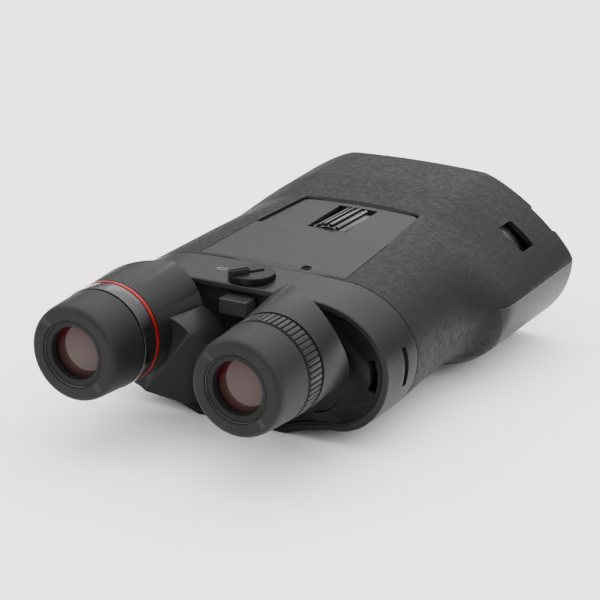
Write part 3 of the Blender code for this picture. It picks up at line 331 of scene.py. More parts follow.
# %% [markdown]
# ### Glass with painted reflection
# Eye lenses show a warm brown-red coating. Its colour is painted lighter in the middle and darker
# towards the rim as painted shade, with a deep red crescent near the top that paints the reflection of
# the mount's wall. Real refraction through solid lenses would be slow and noisy, so the lens is opaque
# with a clear coat, and the painted crescent is a soft step in distance from a point below the middle.


# %% Glass with painted reflection
def glass_with_painted_reflection(name, centre, radius, middle, painted_rim_shade, painted_crescent_reflection):
    mat, main = shader_material(name)
    nodes = mat.node_tree
    place = add_node(nodes, "ShaderNodeTexCoord").outputs["Object"]
    shift = add_node(nodes, "ShaderNodeMapping", vector_type="POINT")
    low = centre - Vector((0.0, 0.0, radius * 0.42))
    shift.inputs["Location"].default_value = -low
    nodes.links.new(place, shift.inputs["Vector"])
    reach = add_node(nodes, "ShaderNodeVectorMath", operation="LENGTH")
    nodes.links.new(shift.outputs["Vector"], reach.inputs[0])
    far = reach.outputs["Value"]
    # Painted light: the colour darkens from the middle to the rim, and past it a deep crescent paints the
    # reflection of the mount's wall.
    base = blended(nodes, ranged(nodes, far, 0.0, 1.0, 0.0, radius * 1.05), middle, painted_rim_shade)
    step = ranged(nodes, far, 0.0, 1.0, radius * 1.06, radius * 1.16)
    base = blended(nodes, step, base, painted_crescent_reflection)
    wander = noise(nodes, place, 220.0, 3.0)
    base = blended(nodes, ranged(nodes, wander, 0.0, 0.18), base, painted_rim_shade)
    nodes.links.new(base, main.inputs["Base Color"])
    nodes.links.new(ranged(nodes, wander, 0.06, 0.12), main.inputs["Roughness"])
    nodes.links.new(bump(nodes, wander, 0.05, 0.00002), main.inputs["Normal"])
    main.inputs["Specular IOR Level"].default_value = 0.2
    main.inputs["Coat Weight"].default_value = 0.12
    main.inputs["Coat Roughness"].default_value = 0.03
    return mat


internal_glass = moulded("prism_glass", (0.22, 0.26, 0.27), (0.30, 0.34, 0.35), (0.05, 0.10), 500.0, 0.00001,
                         coat=0.8)
print("glass:", internal_glass.name)

# %% [markdown]
# ### First coat
# Every node of the frame gets a finish from its slot in the record, so nothing keeps a plain flat
# colour even where only an opened housing would show it.

# %% First coat
BY_SLOT = {
    "armour": armour_finish, "plastic": plastic, "gloss": gloss, "rubber": cup_rubber, "red": red,
    "glass": internal_glass, "metal": metal, "brass": brass, "board": board, "cell": cell_sleeve,
}
for entry in frame["record"]["subparts"]:
    node = NODES[entry["node"]]
    node.data.materials.clear()
    node.data.materials.append(BY_SLOT[entry["material_slot"]])
for name in ("hinge_plate", "arm_stop_block", "front_face", "right_objective_ring", "left_objective_ring"):
    NODES[name].data.materials[0] = dark_plastic

# %% [markdown]
# ## Body section
# The housing is one long moulding whose section changes from a low oval at the eyepieces to a wide
# angular mouth at the objectives. It could be sculpted, but then the bezel, the armour and the lower
# half would not share an edge. A section rule does: a shallow crown, a superellipse flank down to the
# widest point, a second one under it, and a flat keel. Every shell below is cut from this one rule.

# %% Section stations
# y, crown, shoulder x z, widest x z, upper power, lowest lobe x z, lower power
STATIONS = (
    (61.8, 14.5, 31.4, 14.1, 64.9, -11.9, 2.00, 40.9, -37.6, 2.0),
    (84.5, 16.4, 33.5, 15.6, 66.0, -10.2, 1.90, 41.5, -36.8, 2.0),
    (108.0, 17.8, 33.0, 16.9, 64.8, -10.0, 1.85, 41.0, -35.2, 2.0),
    (128.0, 18.9, 32.5, 18.0, 64.6, -9.8, 1.75, 41.0, -34.8, 2.0),
    (136.0, 19.2, 32.4, 18.3, 65.6, -9.4, 1.65, 41.0, -34.9, 2.0),
    (142.0, 19.5, 32.3, 18.5, 68.4, -8.9, 1.50, 41.3, -36.0, 1.95),
    (147.0, 19.7, 32.2, 18.8, 72.0, -8.5, 1.38, 41.7, -38.2, 1.9),
    (151.5, 19.9, 32.2, 18.9, 73.8, -8.3, 1.32, 42.0, -39.6, 1.9),
    (156.0, 20.1, 32.1, 19.1, 74.1, -8.2, 1.30, 42.0, -40.0, 1.9),
    (163.0, 20.5, 32.0, 19.4, 74.1, -8.0, 1.30, 42.0, -40.0, 1.9),
    (184.0, 24.9, 31.8, 23.6, 74.1, -7.4, 1.30, 42.0, -40.0, 1.9),
    (213.5, 26.5, 31.4, 25.6, 74.1, -6.8, 1.30, 42.0, -40.0, 1.9),
)
KEEL_EDGE = (28.5, -40.0)
KEEL_HALF = 20.0
FLANK_STEPS = 22
HALF_WIDTH = 74.0
HALF_HEIGHT = 31.0
MIDDLE_Z = -10.0


def slope_at(rows, i, column):
    """Slope of a column at a station, flat at peaks, so the curve never overshoots."""
    if i == 0 or i == len(rows) - 1:
        return 0.0
    before = (rows[i][column] - rows[i - 1][column]) / (rows[i][0] - rows[i - 1][0])
    after = (rows[i + 1][column] - rows[i][column]) / (rows[i + 1][0] - rows[i][0])
    if before * after <= 0.0:
        return 0.0
    return 2 * before * after / (before + after)


def station_at(y):
    """Section values at y: straight for the crown and shoulder, smooth for the flanks."""
    y = min(max(y, STATIONS[0][0]), STATIONS[-1][0])
    i = max(k for k in range(len(STATIONS) - 1) if STATIONS[k][0] <= y)
    low, high = STATIONS[i], STATIONS[i + 1]
    span = high[0] - low[0]
    t = (y - low[0]) / span
    values = []
    for column in range(1, 10):
        if column <= 3:
            values.append(low[column] + (high[column] - low[column]) * t)
            continue
        m0 = slope_at(STATIONS, i, column) * span
        m1 = slope_at(STATIONS, i + 1, column) * span
        curve = (2 * t ** 3 - 3 * t ** 2 + 1) * low[column] + (t ** 3 - 2 * t ** 2 + t) * m0
        values.append(curve + (3 * t ** 2 - 2 * t ** 3) * high[column] + (t ** 3 - t ** 2) * m1)
    return values


def quarter(start, end, power, steps):
    points = []
    for i in range(steps + 1):
        angle = math.pi / 2 * i / steps
        across = math.sin(angle) ** (2 / power)
        down = math.cos(angle) ** (2 / power)
        points.append((start[0] + (end[0] - start[0]) * across, end[1] + (start[1] - end[1]) * down))
    return points


def section(y, inset=0.0):
    """Closed outline of the body at y, in datum millimetres, moved inwards by inset."""
    crown, sx, sz, wx, wz, upper, bx, bz, lower = station_at(y)
    half = [(sx * k / 6, crown - (crown - sz) * (k / 6) ** 2) for k in range(6)]
    half += quarter((sx, sz), (wx, wz), upper, FLANK_STEPS)
    half += quarter((bx, bz), (wx, wz), lower, FLANK_STEPS)[::-1][1:]
    half += [KEEL_EDGE, (KEEL_HALF, KEEL), (KEEL_HALF / 2, KEEL), (0.0, KEEL)]
    ring = half + [(-x, z) for x, z in half[-2:0:-1]]
    if not inset:
        return ring
    shrink_x = 1 - inset / HALF_WIDTH
    shrink_z = 1 - inset / HALF_HEIGHT
    return [(x * shrink_x, (z - MIDDLE_Z) * shrink_z + MIDDLE_Z) for x, z in ring]


def top_height(x, y):
    """Height of the body's upper surface over a place."""
    crown, sx, sz, wx, wz, upper = station_at(y)[:6]
    if abs(x) <= sx:
        return crown - (crown - sz) * (x / sx) ** 2
    share = min((abs(x) - sx) / (wx - sx), 1.0)
    return wz + (sz - wz) * (1 - share ** upper) ** (1 / upper)


print("section points:", len(section(100.0)))

# %% [markdown]
# ### Mesh helpers
# Shells, turned pieces and plates are written straight into bmesh: rings of points joined by quads.
# Modifiers could make the same forms, but here each ring's place is exact and the rim roundings are
# just extra rings. Booleans then cut the openings, as a milling cutter would.


# %% Mesh helpers
CREASE = 32.0    # degrees, above which an edge stays crisp
CREASES_Y = (163.0, 184.0)    # stations where the crown's slope changes


def finished(name, bm, mat):
    """Turns a bmesh into an object at the origin with outward faces and crisp edges."""
    bmesh.ops.remove_doubles(bm, verts=bm.verts, dist=0.000002)
    bmesh.ops.recalc_face_normals(bm, faces=bm.faces)
    mesh = bpy.data.meshes.new(name)
    bm.to_mesh(mesh)
    bm.free()
    if mat:
        mesh.materials.append(mat)
    mesh.shade_smooth()
    mesh.set_sharp_from_angle(angle=math.radians(CREASE))
    obj = bpy.data.objects.new(name, mesh)
    bpy.context.scene.collection.objects.link(obj)
    return obj


def rings_to_bmesh(rings, caps="fill", loop=False):
    """Joins rings of datum points with quads; caps fills the ends, loop joins last to first."""
    bm = bmesh.new()
    rows = [[bm.verts.new(at(*p)) for p in ring] for ring in rings]
    pairs = list(zip(rows, rows[1:]))
    if loop:
        pairs.append((rows[-1], rows[0]))
    count = len(rows[0])
    for near, far in pairs:
        for i in range(count):
            j = (i + 1) % count
            bm.faces.new((near[i], near[j], far[j], far[i]))
    if caps == "fill" and not loop:
        bm.faces.new(rows[0])
        bm.faces.new(rows[-1])
    return bm


def shell(name, y_from, y_to, wall, mat, rear_round=0.4, front_round=0.4, step=2.0):
    """Open-ended tube of the body section with rounded rims."""
    def rounding(y, radius, way):
        rows = []
        for k in range(4):
            angle = math.pi / 2 * k / 3
            rows.append((y + way * radius * (1 - math.sin(angle)), radius * (1 - math.cos(angle))))
        return rows

    outer = [(y, inset) for y, inset in reversed(rounding(y_from, rear_round, 1))]
    outer += [(y, 0.0) for y in places_along(y_from + rear_round + 0.4, y_to - front_round - 0.4, step)]
    outer += rounding(y_to, front_round, -1)
    middle = [row[0] for row in reversed(STATIONS) if y_from + 1 < row[0] < y_to - 1]
    inner = [(y, wall) for y in [y_to] + middle + [y_from]]
    rings = [[(x, y, z) for x, z in section(y, inset)] for y, inset in outer + inner]
    return finished(name, rings_to_bmesh(rings, loop=True), mat)


def places_along(start, end, step):
    """Places from start to end, with the section's own creases among them."""
    count = max(2, round((end - start) / step))
    places = [start + (end - start) * i / count for i in range(count + 1)]
    creases = [y for y in CREASES_Y if start < y < end]
    places = [y for y in places if all(abs(y - c) > 0.7 for c in creases)]
    return sorted(places + creases)


def plate(name, outline, start, end, mat, axis="Y"):
    """Extrudes a closed outline along an axis; the outline lies in the other two axes."""
    def place(a, b, along):
        return {"Y": (a, along, b), "X": (along, a, b), "Z": (a, b, along)}[axis]

    rings = [[place(a, b, along) for a, b in outline] for along in (start, end)]
    return finished(name, rings_to_bmesh(rings), mat)


def rounded(obj, width, segments=2, angle=40.0):
    """Rounds the sharp edges of a piece and bakes the result."""
    edge = obj.modifiers.new("round", "BEVEL")
    edge.width = width * MM
    edge.segments = segments
    edge.limit_method = "ANGLE"
    edge.angle_limit = math.radians(angle)
    edge.harden_normals = False
    return baked(obj)


def baked(obj):
    """Applies the live modifiers to the mesh."""
    graph = bpy.context.evaluated_depsgraph_get()
    mesh = bpy.data.meshes.new_from_object(obj.evaluated_get(graph))
    obj.modifiers.clear()
    old = obj.data
    obj.data = mesh
    mesh.name = old.name
    bpy.data.meshes.remove(old)
    return obj


def carve(obj, *cutters, operation="DIFFERENCE"):
    """Cuts or joins with other pieces, then removes them."""
    for cutter in cutters:
        boolean = obj.modifiers.new("cut", "BOOLEAN")
        boolean.operation = operation
        boolean.solver = "MANIFOLD"
        boolean.object = cutter
    baked(obj)
    for cutter in cutters:
        bpy.data.objects.remove(cutter, do_unlink=True)
    obj.data.shade_smooth()
    obj.data.set_sharp_from_angle(angle=math.radians(CREASE))
    return obj


def fillet(profile, radius, steps=4):
    """Rounds the corners of an open chain of (along, radius) points."""
    points = [profile[0]]
    for before, corner, after in zip(profile, profile[1:], profile[2:]):
        c = Vector(corner)
        to_before = Vector(before) - c
        to_after = Vector(after) - c
        size = min(radius, to_before.length * 0.45, to_after.length * 0.45)
        start = c + to_before.normalized() * size
        end = c + to_after.normalized() * size
        for k in range(steps + 1):
            t = k / steps
            points.append(tuple(start * (1 - t) ** 2 + c * 2 * t * (1 - t) + end * t ** 2))
    return points + [profile[-1]]


def turned(name, profile, centre, mat, axis="Y", steps=112, close=True):
    """Turns a chain of (along, radius) points about the Y or Z axis through centre."""
    rings = []
    for along, radius in profile:
        ring = []
        for i in range(steps):
            turn = 2 * math.pi * i / steps
            a, b = radius * math.cos(turn), radius * math.sin(turn)
            if axis == "Y":
                ring.append((centre[0] + a, along, centre[2] + b))
            else:
                ring.append((centre[0] + a, centre[1] + b, along))
        rings.append(ring)
    solid = profile[0][1] < 1e-6 and profile[-1][1] < 1e-6
    bm = rings_to_bmesh(rings, caps="none", loop=close and not solid)
    return finished(name, bm, mat)


def drill(radius, start, end, centre, axis="Y", steps=112):
    """Plain cylinder for a round cut or a neck."""
    profile = [(start, 0.0), (start, radius), (end, radius), (end, 0.0)]
    return turned("cut", profile, centre, None, axis, steps)


def put(obj, body, *nodes):
    """Rides a finished piece on its body and lets it stand for frame nodes."""
    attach(obj, body)
    if nodes:
        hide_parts(*nodes)
    print("%-24s %6d faces on %s" % (obj.name, len(obj.data.polygons), body))
    return obj


# %% [markdown]
# ## Armoured housing
# The armour wraps the top and both sides, down to a slanted seam where the smooth lower panel
# begins. It has the top panel's opening, two strap slots near the front and a notch in the rim above
# each. It starts as an open-ended tube of the section and is cut with the shapes of its neighbours
# plus a fine gap.

# %% Cutting shapes shared by the shells
ARMOUR_Y = 84.5
GAP = 0.3
WALL = 2.4
RIM_Y = LENGTH - 0.02    # front rim, a hair inside the frame's box
STRAP_SLOT = (181.5, 192.5)
PANEL = ((33.3, 86.2), (31.0, 126.0), (30.2, 127.5), (27.0, 159.7), (25.5, 161.7))


def panel_outline(grow=0.0):
    """Plan of the top panel, with softly rounded front corners."""
    half = [(PANEL[0][0] + grow, PANEL[0][1] - grow)]
    half += [(x + grow, y) for x, y in PANEL[1:3]]
    front = PANEL[4][1] + grow
    corner = [(PANEL[2][0] + grow, 128.5), (27.0 + grow, front), (0.0, front)]
    half += fillet(corner, 3.0, 6)[1:-1]
    return half + [(-x, y) for x, y in reversed(half)]


def lower_side_view(shift):
    """Side view of everything below the armour's seam."""
    return [
        (LENGTH + 50, -6.4 + shift), (145.4 - shift, -8.4 + shift), (147.6 - shift, -14.0 + shift),
        (150.6 - shift, -21.5 + shift), (153.4 - shift, -27.0 + shift), (154.5 - shift, -29.4 + shift),
        (153.0 - shift, -31.5 + shift), (ARMOUR_Y - 50, -31.5 + shift), (ARMOUR_Y - 50, -100.0),
        (LENGTH + 50, -100.0),
    ]


def slot_block(name, side, y_low, y_high):
    """Block square to the sloping front flank, for a strap slot or its notch."""
    turn = Matrix.Rotation(math.radians(48.0) * side, 4, "Y")
    bm = bmesh.new()
    size = Matrix.Diagonal((14.0 * MM, (y_high - y_low) * MM, 30.0 * MM, 1.0))
    bmesh.ops.create_cube(bm, size=1.0, matrix=size)
    bmesh.ops.bevel(bm, geom=bm.edges, offset=0.0006, segments=2, affect="EDGES", clamp_overlap=True)
    place = Matrix.Translation(at(58.8 * side, (y_low + y_high) / 2, 8.2))
    bmesh.ops.transform(bm, matrix=place @ turn, verts=bm.verts)
    return finished(name, bm, None)


# %% Armour
armour = shell("armour", ARMOUR_Y + GAP / 2, RIM_Y, WALL, armour_finish, 0.35, 0.55, 1.6)
carve(armour, plate("cut", lower_side_view(GAP / 2), -100, 100, None, "X"))
carve(armour, plate("cut", panel_outline(GAP), 5, 60, None, "Z"))
front_wall = top_height(0, 162.0)
lip = [(161.0, front_wall - 1.3), (162.0, front_wall - 1.3)]
lip += [(164.2, front_wall + 0.9), (161.0, front_wall + 0.9)]
carve(armour, plate("cut", lip, -27.0, 27.0, None, "X"))
for side in (1, -1):
    carve(armour, slot_block("cut", side, *STRAP_SLOT), slot_block("cut", side, LENGTH - 1.9, LENGTH + 5))
put(armour, "housing", "upper_housing")

# %% [markdown]
# ## Lower housing
# Below the seam the body is a smooth satin moulding that reaches the keel. It comes from the same
# shell rule, kept only inside the seam's side view, so the two halves meet along one line.

# %% Lower housing
lower_shell = shell("lower_shell", ARMOUR_Y + GAP / 2, RIM_Y, WALL, plastic, 0.35, 0.55, 2.0)
carve(lower_shell, plate("cut", lower_side_view(-GAP / 2), -100, 100, None, "X"), operation="INTERSECT")
bush_low, bush_high = extent("tripod_bush")
bush_y = (bush_low.y + bush_high.y) / 2
carve(lower_shell, drill(8.3, KEEL - 5, KEEL + 8, (0, bush_y, 0), "Z", 64))
put(lower_shell, "housing", "lower_housing")

# %% [markdown]
# ## Rear bezel
# The bezel is a smooth band behind the armour with a rounded rear edge. On each side it has a slot
# for the strap, and its rear wall, set back inside the rim, carries a curved slot between two arcs.
# The band is cut from the body rule; the wall is a separate flat moulding in its recess.

# %% Bezel band
REAR_Y = 61.8
WALL_Y = 63.6
bezel = shell("bezel", REAR_Y, ARMOUR_Y - GAP / 2, WALL, plastic, 0.9, 0.35, 2.0)
for side in (1, -1):
    bm = bmesh.new()
    strap_size = Matrix.Diagonal((14.0 * MM, 2.8 * MM, 15.5 * MM, 1.0))
    strap_place = Matrix.Translation(at(67.0 * side, 75.9, -11.25))
    bmesh.ops.create_cube(bm, size=1.0, matrix=strap_place @ strap_size)
    carve(bezel, finished("cut", bm, None))
SWITCH = (0.0, 71.2)
SWITCH_R = 9.2
SWITCH_TOP = 17.6
seat = [(10.0, 0.0), (10.0, 3.0), (14.6, 3.0), (14.6, SWITCH_R + GAP), (30.0, SWITCH_R + GAP), (30.0, 0.0)]
carve(bezel, turned("cut", seat, (*SWITCH, 0), None, "Z", 64))
put(bezel, "housing", "rear_bezel")


# %% Rear wall with its curved slots
def arc(centre, radius, start, end, steps):
    points = []
    for i in range(steps + 1):
        turn = math.radians(start + (end - start) * i / steps)
        points.append((centre[0] + radius * math.cos(turn), centre[1] + radius * math.sin(turn)))
    return points


def mirrored(points, side):
    return [(x * side, z) for x, z in points]


BOSS = (30.7, -18.3)
BOSS_R = 13.7
LOBE = (40.5, -12.7)


def hinge_outline(grow):
    """Centre plate with a round boss on each side."""
    spread = math.degrees(math.acos((32.0 - BOSS[0]) / (BOSS_R + grow)))
    edge = arc(BOSS, BOSS_R + grow, -spread, spread, 28)
    right = [(32.0 + grow, -60.0)] + edge + [(32.0 + grow, 16.0)]
    return right + [(-x, z) for x, z in reversed(right)]


rear_wall = plate("rear_wall", section(66.0, WALL + 0.05), WALL_Y, 66.0, dark_plastic)
carve(rear_wall, plate("cut", hinge_outline(GAP), 50, 80, None))
for side in (1, -1):
    slot = arc(LOBE, 19.2, 22, -20, 12) + arc(LOBE, 16.0, -20, 22, 12)
    carve(rear_wall, plate("cut", mirrored(slot, side), 50, 80, None))
    groove = arc(LOBE, 21.2, -78, 128, 48) + arc(LOBE, 20.9, 128, -78, 48)
    carve(rear_wall, plate("cut", mirrored(groove, side), WALL_Y - 1, WALL_Y + 0.35, None))
put(rear_wall, "housing")

# %% [markdown]
# ### Rim seal
# Just inside the bezel's rim a thin lip seals the joint to the wall. It reads as a second fine line
# under the bright rim. It is the same section drawn as a narrow band.

# %% Rim seal
seal_rings = [(62.7, WALL - 0.05), (62.7, WALL + 0.75), (63.55, WALL + 0.9), (63.55, WALL - 0.05)]
seal_loops = [[(x, y, z) for x, z in section(y, inset)] for y, inset in seal_rings]
seal = finished("rim_seal", rings_to_bmesh(seal_loops, loop=True), plastic)
put(seal, "housing")

# %% [markdown]
# ## Top panel
# A thin satin cover sits in the armour: its rear field stands a little proud of the bezel, and past
# a step the front field, with the wheel, lies a millimetre lower. It is the body's own top surface
# sampled as a grid, so it follows the crown, with its edges turned down.

# %% Top panel
STEP_Y = 126.0
PANEL_REAR = 86.2
PANEL_FRONT = 161.6
CORNER_Y = 158.8


def panel_half_width(y):
    for (x0, y0), (x1, y1) in zip(PANEL, PANEL[1:]):
        if y <= y1:
            t = max(0.0, (y - y0) / (y1 - y0))
            return x0 + (x1 - x0) * t
    return PANEL[-1][0]


def panel_top(x, y, drop=0.0):
    lowered = 1.0 if y > STEP_Y + 0.2 else 0.0
    return top_height(x, y) + 0.12 - lowered - drop


def panel_grid(bottom):
    """Rows of points over the panel; the border rows turn down to a small rounded edge."""
    ys = [86.2, 86.35, 86.7] + [86.7 + (STEP_Y - 86.9) * k / 22 for k in range(1, 23)]
    ys += [STEP_Y + 0.35] + [126.6 + (159.0 - 126.6) * k / 20 for k in range(1, 21)]
    ys += [159.8, 160.5, 161.0, 161.35, 161.6]
    rows = []
    for y in ys:
        near = min(y - PANEL_REAR, PANEL_FRONT - y)
        half = panel_half_width(y)
        if y > CORNER_Y:
            half -= 3.0 * (1 - math.sqrt(max(0.0, 1 - ((y - CORNER_Y) / 2.9) ** 2)))
        row = []
        shares = [-1, -0.995, -0.985] + [-0.96 + 1.92 * k / 24 for k in range(25)] + [0.985, 0.995, 1]
        for share in shares:
            side = (1 - abs(share)) * half
            edge = min(side / 0.45, near / 0.45, 1.0)
            drop = 0.35 * (1 - math.sqrt(max(0.0, 1 - (1 - edge) ** 2)))
            x = half * share
            row.append((x, y, top_height(x, y) - 3.0 if bottom else panel_top(x, y, drop)))
        rows.append(row)
    return rows


def slab(name, upper, lower, mat):
    """Closes an upper and a lower grid of points into one solid."""
    bm = bmesh.new()
    top = [[bm.verts.new(at(*p)) for p in row] for row in upper]
    low = [[bm.verts.new(at(*p)) for p in row] for row in lower]
    for grid in (top, low):
        for near, far in zip(grid, grid[1:]):
            for i in range(len(near) - 1):
                bm.faces.new((near[i], near[i + 1], far[i + 1], far[i]))
    border_top = top[0] + [r[-1] for r in top[1:]] + top[-1][-2::-1] + [r[0] for r in top[-2:0:-1]]
    border_low = low[0] + [r[-1] for r in low[1:]] + low[-1][-2::-1] + [r[0] for r in low[-2:0:-1]]
    for i in range(len(border_top)):
        j = (i + 1) % len(border_top)
        bm.faces.new((border_top[i], border_top[j], border_low[j], border_low[i]))
    return finished(name, bm, mat)


panel = slab("panel", panel_grid(False), panel_grid(True), panel_plastic)
well = [(-9.0, 130.5), (9.0, 130.5), (9.0, 158.5), (-9.0, 158.5)]
carve(panel, plate("cut", well, 5, 60, None, "Z"))
lamp_low, lamp_high = extent("status_lamp")
LAMP = ((lamp_low.x + lamp_high.x) / 2, (lamp_low.y + lamp_high.y) / 2)
LAMP_HOLE = 2.35
carve(panel, drill(LAMP_HOLE, 5, 60, (*LAMP, 0), "Z", 40))
put(panel, "housing", "top_panel")

# %% [markdown]
# ### Sloping strip and status lamp
# Between the bezel and the panel's rear edge runs a narrow light strip, lens-shaped in plan, that
# takes up the step in height. The status lamp sits in it: a dark cup with a raised ring and a small
# dome coloured light grey, a painted glint on what is a dark lens.


# %% Sloping strip
def strip_rows():
    upper, lower = [], []
    for k in range(41):
        x = -24.0 + 56.8 * k / 40
        share = k / 40
        width = 0.25 + 2.6 * math.sin(math.pi * share) ** 0.9
        front = 86.0
        high = top_height(x, 86.2) + 0.02
        row_up, row_low = [], []
        for s in (0.0, 0.12, 0.5, 0.88, 1.0):
            y = front - width * s
            z = high + (top_height(x, y) + 0.06 - high) * s
            row_up.append((x, y, z + 0.25 * math.sin(math.pi * min(1.0, s + 0.1)) * min(1.0, width)))
            row_low.append((x, y, top_height(x, y) - 0.12))
        upper.append(row_up)
        lower.append(row_low)
    return upper, lower


strip = slab("sloping_strip", *strip_rows(), plastic)
carve(strip, drill(LAMP_HOLE, 5, 60, (*LAMP, 0), "Z", 40))
put(strip, "housing")

# %% Status lamp
lamp_top = top_height(*LAMP)
ring_corners = [
    (lamp_top - 2.2, 1.45), (lamp_top - 2.2, 2.2), (lamp_top + 0.42, 2.2), (lamp_top + 0.42, 1.7),
    (lamp_top - 0.5, 1.45), (lamp_top - 2.2, 1.45),
]
ring_profile = fillet(ring_corners, 0.18)
lamp_ring = turned("lamp_ring", ring_profile[:-1], (*LAMP, 0), dark_plastic, "Z", 48)
put(lamp_ring, "housing")
# Painted glint: the dome is coloured light grey so that its tip reads bright, though the lens is dark.
lamp_painted_glint_finish, lens_shader = shader_material("lamp_lens_painted_glint")
lens_tree = lamp_painted_glint_finish.node_tree
lens_noise = noise(lens_tree, add_node(lens_tree, "ShaderNodeTexCoord").outputs["Object"], 1500.0)
lens_drift = ranged(lens_tree, lens_noise, 0.0, 1.0)
painted_glint_colour = blended(lens_tree, lens_drift, (0.45, 0.46, 0.45), (0.62, 0.63, 0.62))
lens_tree.links.new(painted_glint_colour, lens_shader.inputs["Base Color"])
lens_tree.links.new(ranged(lens_tree, lens_noise, 0.08, 0.16), lens_shader.inputs["Roughness"])
dome = [(lamp_top - 2.0, 0.0), (lamp_top - 2.0, 1.3), (lamp_top - 1.3, 1.3)]
for k in range(7):
    a = math.pi / 2 * k / 6
    dome.append((lamp_top - 1.3 + 0.9 * math.sin(a), 0.75 * math.cos(a)))
dome[-1] = (dome[-1][0], 0.0)
lamp_dome = turned("lamp_dome", dome, (*LAMP, 0), lamp_painted_glint_finish, "Z", 32)
put(lamp_dome, "housing", "status_lamp")

# %% [markdown]
# ## Focus wheel
# The wheel is a drum with broad glossy ribs, set in a well so that only its top shows. The ribs
# repeat around an axis, which is what Geometry Nodes are for: a circle of points, one rounded bar
# per point, turned to face outwards. The tree is made once and serves the dioptre ring too.


# %% Rib tree
def rib_tree():
    """Bars around the Y axis; sizes in metres."""
    group = bpy.data.node_groups.new("ribs_around_axis", "GeometryNodeTree")
    face = group.interface
    face.new_socket("Geometry", in_out="INPUT", socket_type="NodeSocketGeometry")
    inputs = (
        ("Count", "NodeSocketInt", 24), ("Radius", "NodeSocketFloat", 0.01),
        ("Length", "NodeSocketFloat", 0.02), ("Width", "NodeSocketFloat", 0.001),
        ("Height", "NodeSocketFloat", 0.001), ("Centre", "NodeSocketVector", (0, 0, 0)),
        ("Finish", "NodeSocketMaterial", None),
    )
    for label, kind, value in inputs:
        socket = face.new_socket(label, in_out="INPUT", socket_type=kind)
        if value is not None:
            socket.default_value = value
    face.new_socket("Geometry", in_out="OUTPUT", socket_type="NodeSocketGeometry")
    nodes, links = group.nodes, group.links
    source = nodes.new("NodeGroupInput")
    result = nodes.new("NodeGroupOutput")
    circle = nodes.new("GeometryNodeMeshCircle")
    links.new(source.outputs["Count"], circle.inputs["Vertices"])
    links.new(source.outputs["Radius"], circle.inputs["Radius"])
    position = nodes.new("GeometryNodeInputPosition")
    aim = nodes.new("FunctionNodeAlignRotationToVector")
    aim.axis = "X"
    aim.pivot_axis = "Z"
    links.new(position.outputs["Position"], aim.inputs["Vector"])
    size = nodes.new("ShaderNodeCombineXYZ")
    links.new(source.outputs["Height"], size.inputs["X"])
    links.new(source.outputs["Width"], size.inputs["Y"])
    links.new(source.outputs["Length"], size.inputs["Z"])
    bar = nodes.new("GeometryNodeMeshCube")
    links.new(size.outputs["Vector"], bar.inputs["Size"])
    spread = nodes.new("GeometryNodeInstanceOnPoints")
    links.new(circle.outputs["Mesh"], spread.inputs["Points"])
    links.new(bar.outputs["Mesh"], spread.inputs["Instance"])
    links.new(aim.outputs["Rotation"], spread.inputs["Rotation"])
    real = nodes.new("GeometryNodeRealizeInstances")
    links.new(spread.outputs["Instances"], real.inputs["Geometry"])
    lay = nodes.new("GeometryNodeTransform")
    lay.inputs["Rotation"].default_value = (math.radians(90), 0.0, 0.0)
    links.new(real.outputs["Geometry"], lay.inputs["Geometry"])
    links.new(source.outputs["Centre"], lay.inputs["Translation"])
    paint = nodes.new("GeometryNodeSetMaterial")
    links.new(lay.outputs["Geometry"], paint.inputs["Geometry"])
    links.new(source.outputs["Finish"], paint.inputs["Material"])
    links.new(paint.outputs["Geometry"], result.inputs["Geometry"])
    return group


RIBS = rib_tree()


def ribs(name, mat, bevel, **sizes):
    """Runs the rib tree and returns a plain mesh with rounded bars."""
    holder = bpy.data.objects.new(name, bpy.data.meshes.new(name))
    bpy.context.scene.collection.objects.link(holder)
    modifier = holder.modifiers.new("ribs", "NODES")
    modifier.node_group = RIBS
    keys = {item.name: item.identifier for item in RIBS.interface.items_tree if item.in_out == "INPUT"}
    for label, value in sizes.items():
        modifier[keys[label]] = value
    modifier[keys["Finish"]] = mat
    baked(holder)
    edge = holder.modifiers.new("round", "BEVEL")
    edge.width = bevel * MM
    edge.segments = 3
    baked(holder)
    holder.data.shade_smooth()
    holder.data.set_sharp_from_angle(angle=math.radians(50))
    return holder


print("rib tree nodes:", len(RIBS.nodes))

# %% Focus wheel
WHEEL = (131.5, 157.5)
WHEEL_Z = 9.4
drum_profile = fillet([(WHEEL[0], 0.0), (WHEEL[0], 9.4), (WHEEL[0] + 0.8, 9.9), (WHEEL[1] - 0.8, 9.9),
                       (WHEEL[1], 9.4), (WHEEL[1], 0.0)], 0.3)
drum = turned("wheel_drum", drum_profile, (0, 0, WHEEL_Z), gloss, steps=96)
put(drum, "focus_knob", "focus_wheel")
wheel_ribs = ribs(
    "wheel_ribs", gloss, 0.42, Count=22, Radius=10.15 * MM, Length=(WHEEL[1] - WHEEL[0] - 0.4) * MM,
    Width=1.75 * MM, Height=1.6 * MM, Centre=at(0, (WHEEL[0] + WHEEL[1]) / 2, WHEEL_Z),
)
put(wheel_ribs, "focus_knob")
cradle = arc((0, WHEEL_Z), 12.2, 180 + 18, 360 - 18, 28) + arc((0, WHEEL_Z), 11.6, 360 - 18, 180 + 18, 28)
cradle = plate("wheel_cradle", cradle, 131.6, 157.4, dark_plastic)
put(cradle, "housing")

# %% [markdown]
# ## Power switch
# A round knob with a raised grip that overhangs its edge and a thin pointer ridge on the far side.
# Beside it on the bezel is a small outlined mark. The grip is a box with generous rounding, joined
# to the turned knob by a Boolean so that the knob stays one moulding.

# %% Power switch
knob_bottom = SWITCH_TOP - 2.7
knob_profile = [(knob_bottom, 0.0), (knob_bottom, SWITCH_R), (SWITCH_TOP - 0.1, SWITCH_R),
                (SWITCH_TOP, SWITCH_R - 0.5), (SWITCH_TOP - 0.12, SWITCH_R - 1.4), (SWITCH_TOP - 0.1, 0.0)]
knob = turned("switch_knob", fillet(knob_profile, 0.3), (*SWITCH, 0), dark_plastic, "Z", 112)
AIM = math.radians(-123.0)


